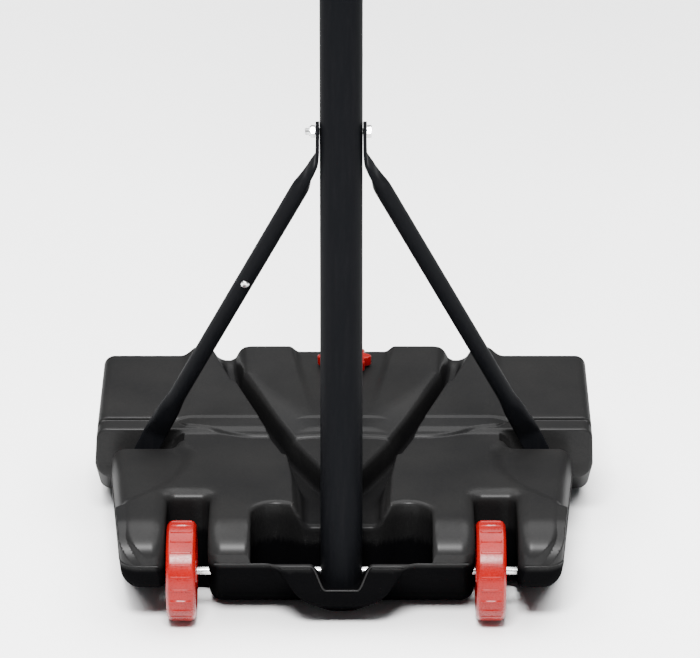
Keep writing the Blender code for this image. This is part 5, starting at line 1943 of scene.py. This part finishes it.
@dataclass
class Rim:
    """The rim's bracket, its ring with net hooks, and the net."""

    sheet: float = 3.0
    hooks: int = 12
    hook_wire: float = 2.0
    cord: float = 2.1
    levels: int = 5

    def places(self) -> tuple[Array, float, float]:
        """Return the ring's centre, its middle radius and its rod's radius.

        Returns:
            The centre and the two radii.
        """
        low, high = node_span("rim_ring")
        rod_radius = (high[2] - low[2]) / 2
        return (low + high) / 2, (high[0] - low[0]) / 2 - rod_radius, rod_radius

    def bracket(self, shop: Workshop) -> None:
        """Make the plate on the board, the shelf under the ring and its two gussets.

        Args:
            shop: the workshop that finishes each piece.
        """
        low, high = node_span("rim_bracket")
        centre, _, rod_radius = self.places()
        face = high[1]
        shelf_top = centre[2] - rod_radius - 0.3
        plate_foot = centre[2] - 45.0
        outline = fillet([(plate_foot, -65.0, 8.0), (high[2], -65.0, 8.0), (high[2], 65.0, 8.0),
                          (plate_foot, 65.0, 8.0)], 5, True)
        shelf = fillet([(-50.0, face - 1.0, 0.0), (-70.0, low[1], 3.0), (70.0, low[1], 3.0),
                        (50.0, face - 1.0, 0.0)], 4, True)
        pieces = [plate(outline, face - self.sheet, face, 0.8, Axis.Y),
                  plate(shelf, shelf_top - self.sheet, shelf_top, 0.8, Axis.Z)]
        foot = shelf_top - self.sheet
        gusset = fillet([(low[1] + 24.0, foot + 1.0, 2.0), (face - 1.0, foot - 34.0, 2.0),
                         (face - 1.0, foot + 1.0, 0.0)], 3, True)
        for x in (-46.0, 43.0):
            pieces.append(plate(gusset, x, x + self.sheet, 0.7, Axis.X))
        shop.fit(build_object("rim_bracket_sheet", *merge(pieces)), "mast", Slot.RIM, "rim_bracket")

    def ring(self, shop: Workshop) -> None:
        """Make the ring and its hooks: U-shaped wires that hang below it.

        Args:
            shop: the workshop that finishes each piece.
        """
        centre, major, rod_radius = self.places()
        loop = circle(rod_radius, 24) + np.array([major, 0.0])
        pieces = [turned(loop, centre, Axis.Z, 160, True)]
        t = np.linspace(0.0, math.pi, 17)
        for angle in (np.arange(self.hooks) + 0.5) * TAU / self.hooks:
            along = np.array([-math.sin(angle), math.cos(angle), 0.0])
            outward = np.array([math.cos(angle), math.sin(angle), 0.0])
            middle = centre + outward * major - np.array([0, 0, rod_radius - 2.0])
            path = (middle + along * (9.0 * np.cos(t))[:, None]
                    - np.array([0, 0, 1.0]) * (11.0 * np.sin(t) ** 0.8)[:, None])
            normals = np.repeat(outward[None], len(path), 0)
            pieces.append(swept(path, circle(self.hook_wire, 12), normals))
        shop.fit(build_object("rim_ring_rod", *merge(pieces)), "mast", Slot.RIM, "rim_ring")

    def net_radius(self, height: Array, top: float, foot: float) -> Array:
        """Radius of the net at a height: it draws in quickly, then hangs nearly straight."""
        share = np.clip((top - height) / (top - foot), 0.0, 1.0)
        return np.interp(share, [0.0, 0.24, 0.6, 1.0], [203.0, 188.0, 140.0, 119.0])

    def strand(self, start: float, way: int, centre: Array, top: float, foot: float) -> Array:
        """Return the path of one cord, which steps half a hook sideways at each level.

        Args:
            start: the hook's angle.
            way: 1 for a cord that goes to the left, -1 to the right.
            centre: the ring's centre.
            top: height of the hooks' feet.
            foot: height of the net's edge.

        Returns:
            Points down the cord.
        """
        count = self.levels * 10 + 1
        step = np.linspace(0.0, self.levels, count)
        height = top + (foot - top) * (step / self.levels) ** 0.92
        angle = start + way * math.pi / self.hooks * step
        apart = 1.4 * np.abs(np.sin(math.pi * step)) * way
        radius = self.net_radius(height, top, foot) + apart
        return np.stack([centre[0] + radius * np.cos(angle), centre[1] + radius * np.sin(angle), height], -1)

    def net(self, shop: Workshop) -> None:
        """Make the net of crossing cords, with a knot at each crossing, at each hook and at the net's foot.

        Args:
            shop: the workshop that finishes each piece.
        """
        centre = self.places()[0]
        low, high = node_span("net")
        top, foot = high[2] + 8.0, low[2] + 3.0
        pieces = []
        section = circle(self.cord, 10)
        knots = []
        for start in (np.arange(self.hooks) + 0.5) * TAU / self.hooks:
            for way in (-1, 1):
                path = self.strand(start, way, centre, top, foot)
                outward = path - centre
                outward[:, 2] = 0.0
                pieces.append(swept(path, section, outward))
                if way > 0:
                    knots.extend(path[10::10])
            knots.append(self.strand(start, 1, centre, top, foot)[0])
        profile = fillet([(0.0, -5.0, 0.0), (3.2, -4.6, 2.0), (4.2, 0.0, 3.0), (3.2, 4.6, 2.0),
                          (0.0, 5.0, 0.0)], 3)
        for knot in knots:
            pieces.append(turned(profile, knot, Axis.Z, 14))
        shop.fit(build_object("net_cords", *merge(pieces), Shading.SMOOTH), "mast", Slot.CORD, "net")

    def build(self, shop: Workshop) -> None:
        """Make the bracket, the ring and the net.

        Args:
            shop: the workshop that finishes each piece.
        """
        self.bracket(shop)
        self.ring(shop)
        self.net(shop)


# ---------------------------------------------------------------- scene

CAMERA_PLACE = (10.17, -5582.5, 2572.4)     # millimetres from the pole's foot
CAMERA_TILT = 68.5                          # degrees from straight down
CAMERA_LENS = 262.9
SENSOR_WIDTH = 36.0
FLOOR_REACH = 30_000.0
SKY_COLOUR = (0.93, 0.96, 1.0, 1.0)
SKY_STRENGTH = 0.22


def make_camera() -> None:
    """Put the camera in front of the hoop, looking down at its base."""
    data = bpy.data.cameras.new("camera")
    data.lens = CAMERA_LENS
    data.sensor_width = SENSOR_WIDTH
    data.clip_start = 0.1
    data.clip_end = 60.0
    camera = bpy.data.objects.new("camera", data)
    camera.location = Vector(world(np.array(CAMERA_PLACE)))
    camera.rotation_euler = (math.radians(CAMERA_TILT), 0.0, 0.0)
    bpy.context.scene.collection.objects.link(camera)
    bpy.context.scene.camera = camera


@dataclass(frozen=True)
class Panel:
    """A soft rectangular light; places are metres from the pole's foot."""

    name: str
    place: tuple[float, float, float]
    aim: tuple[float, float, float]
    size: tuple[float, float]
    power: float

    def build(self) -> None:
        """Hang the light and turn it to its aim."""
        data = bpy.data.lights.new(self.name, "AREA")
        data.shape = "RECTANGLE"
        data.size, data.size_y = self.size
        data.energy = self.power
        lamp = bpy.data.objects.new(self.name, data)
        lamp.location = Vector(self.place) + Vector(POLE_AXIS)
        direction = Vector(self.aim) - Vector(self.place)
        lamp.rotation_euler = direction.to_track_quat("-Z", "Y").to_euler()
        bpy.context.scene.collection.objects.link(lamp)


PANELS = (
    Panel("overhead", (0.0, 0.7, 5.2), (0.0, 0.7, 0.0), (8.0, 8.0), 1700.0),
    Panel("key", (-0.2, -2.7, 3.4), (0.0, 0.0, 0.1), (1.1, 0.8), 560.0),
)


def make_stage() -> None:
    """Make the pale floor, the pale world and the soft lights."""
    corners = np.array([[-1, -1, 0], [1, -1, 0], [1, 1, 0], [-1, 1, 0]]) * FLOOR_REACH
    floor = build_object("floor", corners, [[0, 1, 2, 3]], Shading.FLAT)
    shader = Shader("pale_floor")
    shader.dress(Base_Color=shader.mix(shader.noise(2.0), (0.95, 0.95, 0.95), (0.93, 0.93, 0.93)),
                 Roughness=0.9)
    floor.data.materials.append(shader.material)
    sky = bpy.data.worlds.new("studio")
    sky.use_nodes = True
    background = sky.node_tree.nodes["Background"]
    background.inputs["Color"].default_value = SKY_COLOUR
    background.inputs["Strength"].default_value = SKY_STRENGTH
    bpy.context.scene.world = sky
    for panel in PANELS:
        panel.build()


def main() -> None:
    """Build every sub-assembly, in order, and report the pieces."""
    logging.basicConfig(level=logging.INFO, format="%(name)s: %(message)s")
    make_camera()
    make_stage()
    shop = Workshop()
    Tank().build(shop)
    FillerCap().build(shop)
    RunningGear().build(shop)
    pole = Pole()
    pole.build(shop)
    Struts().build(shop)
    Mast().build(pole, shop)
    Backboard().build(shop)
    Rim().build(shop)
    LOG.info("%d new pieces", shop.count)


if __name__ == "__main__":
    main()
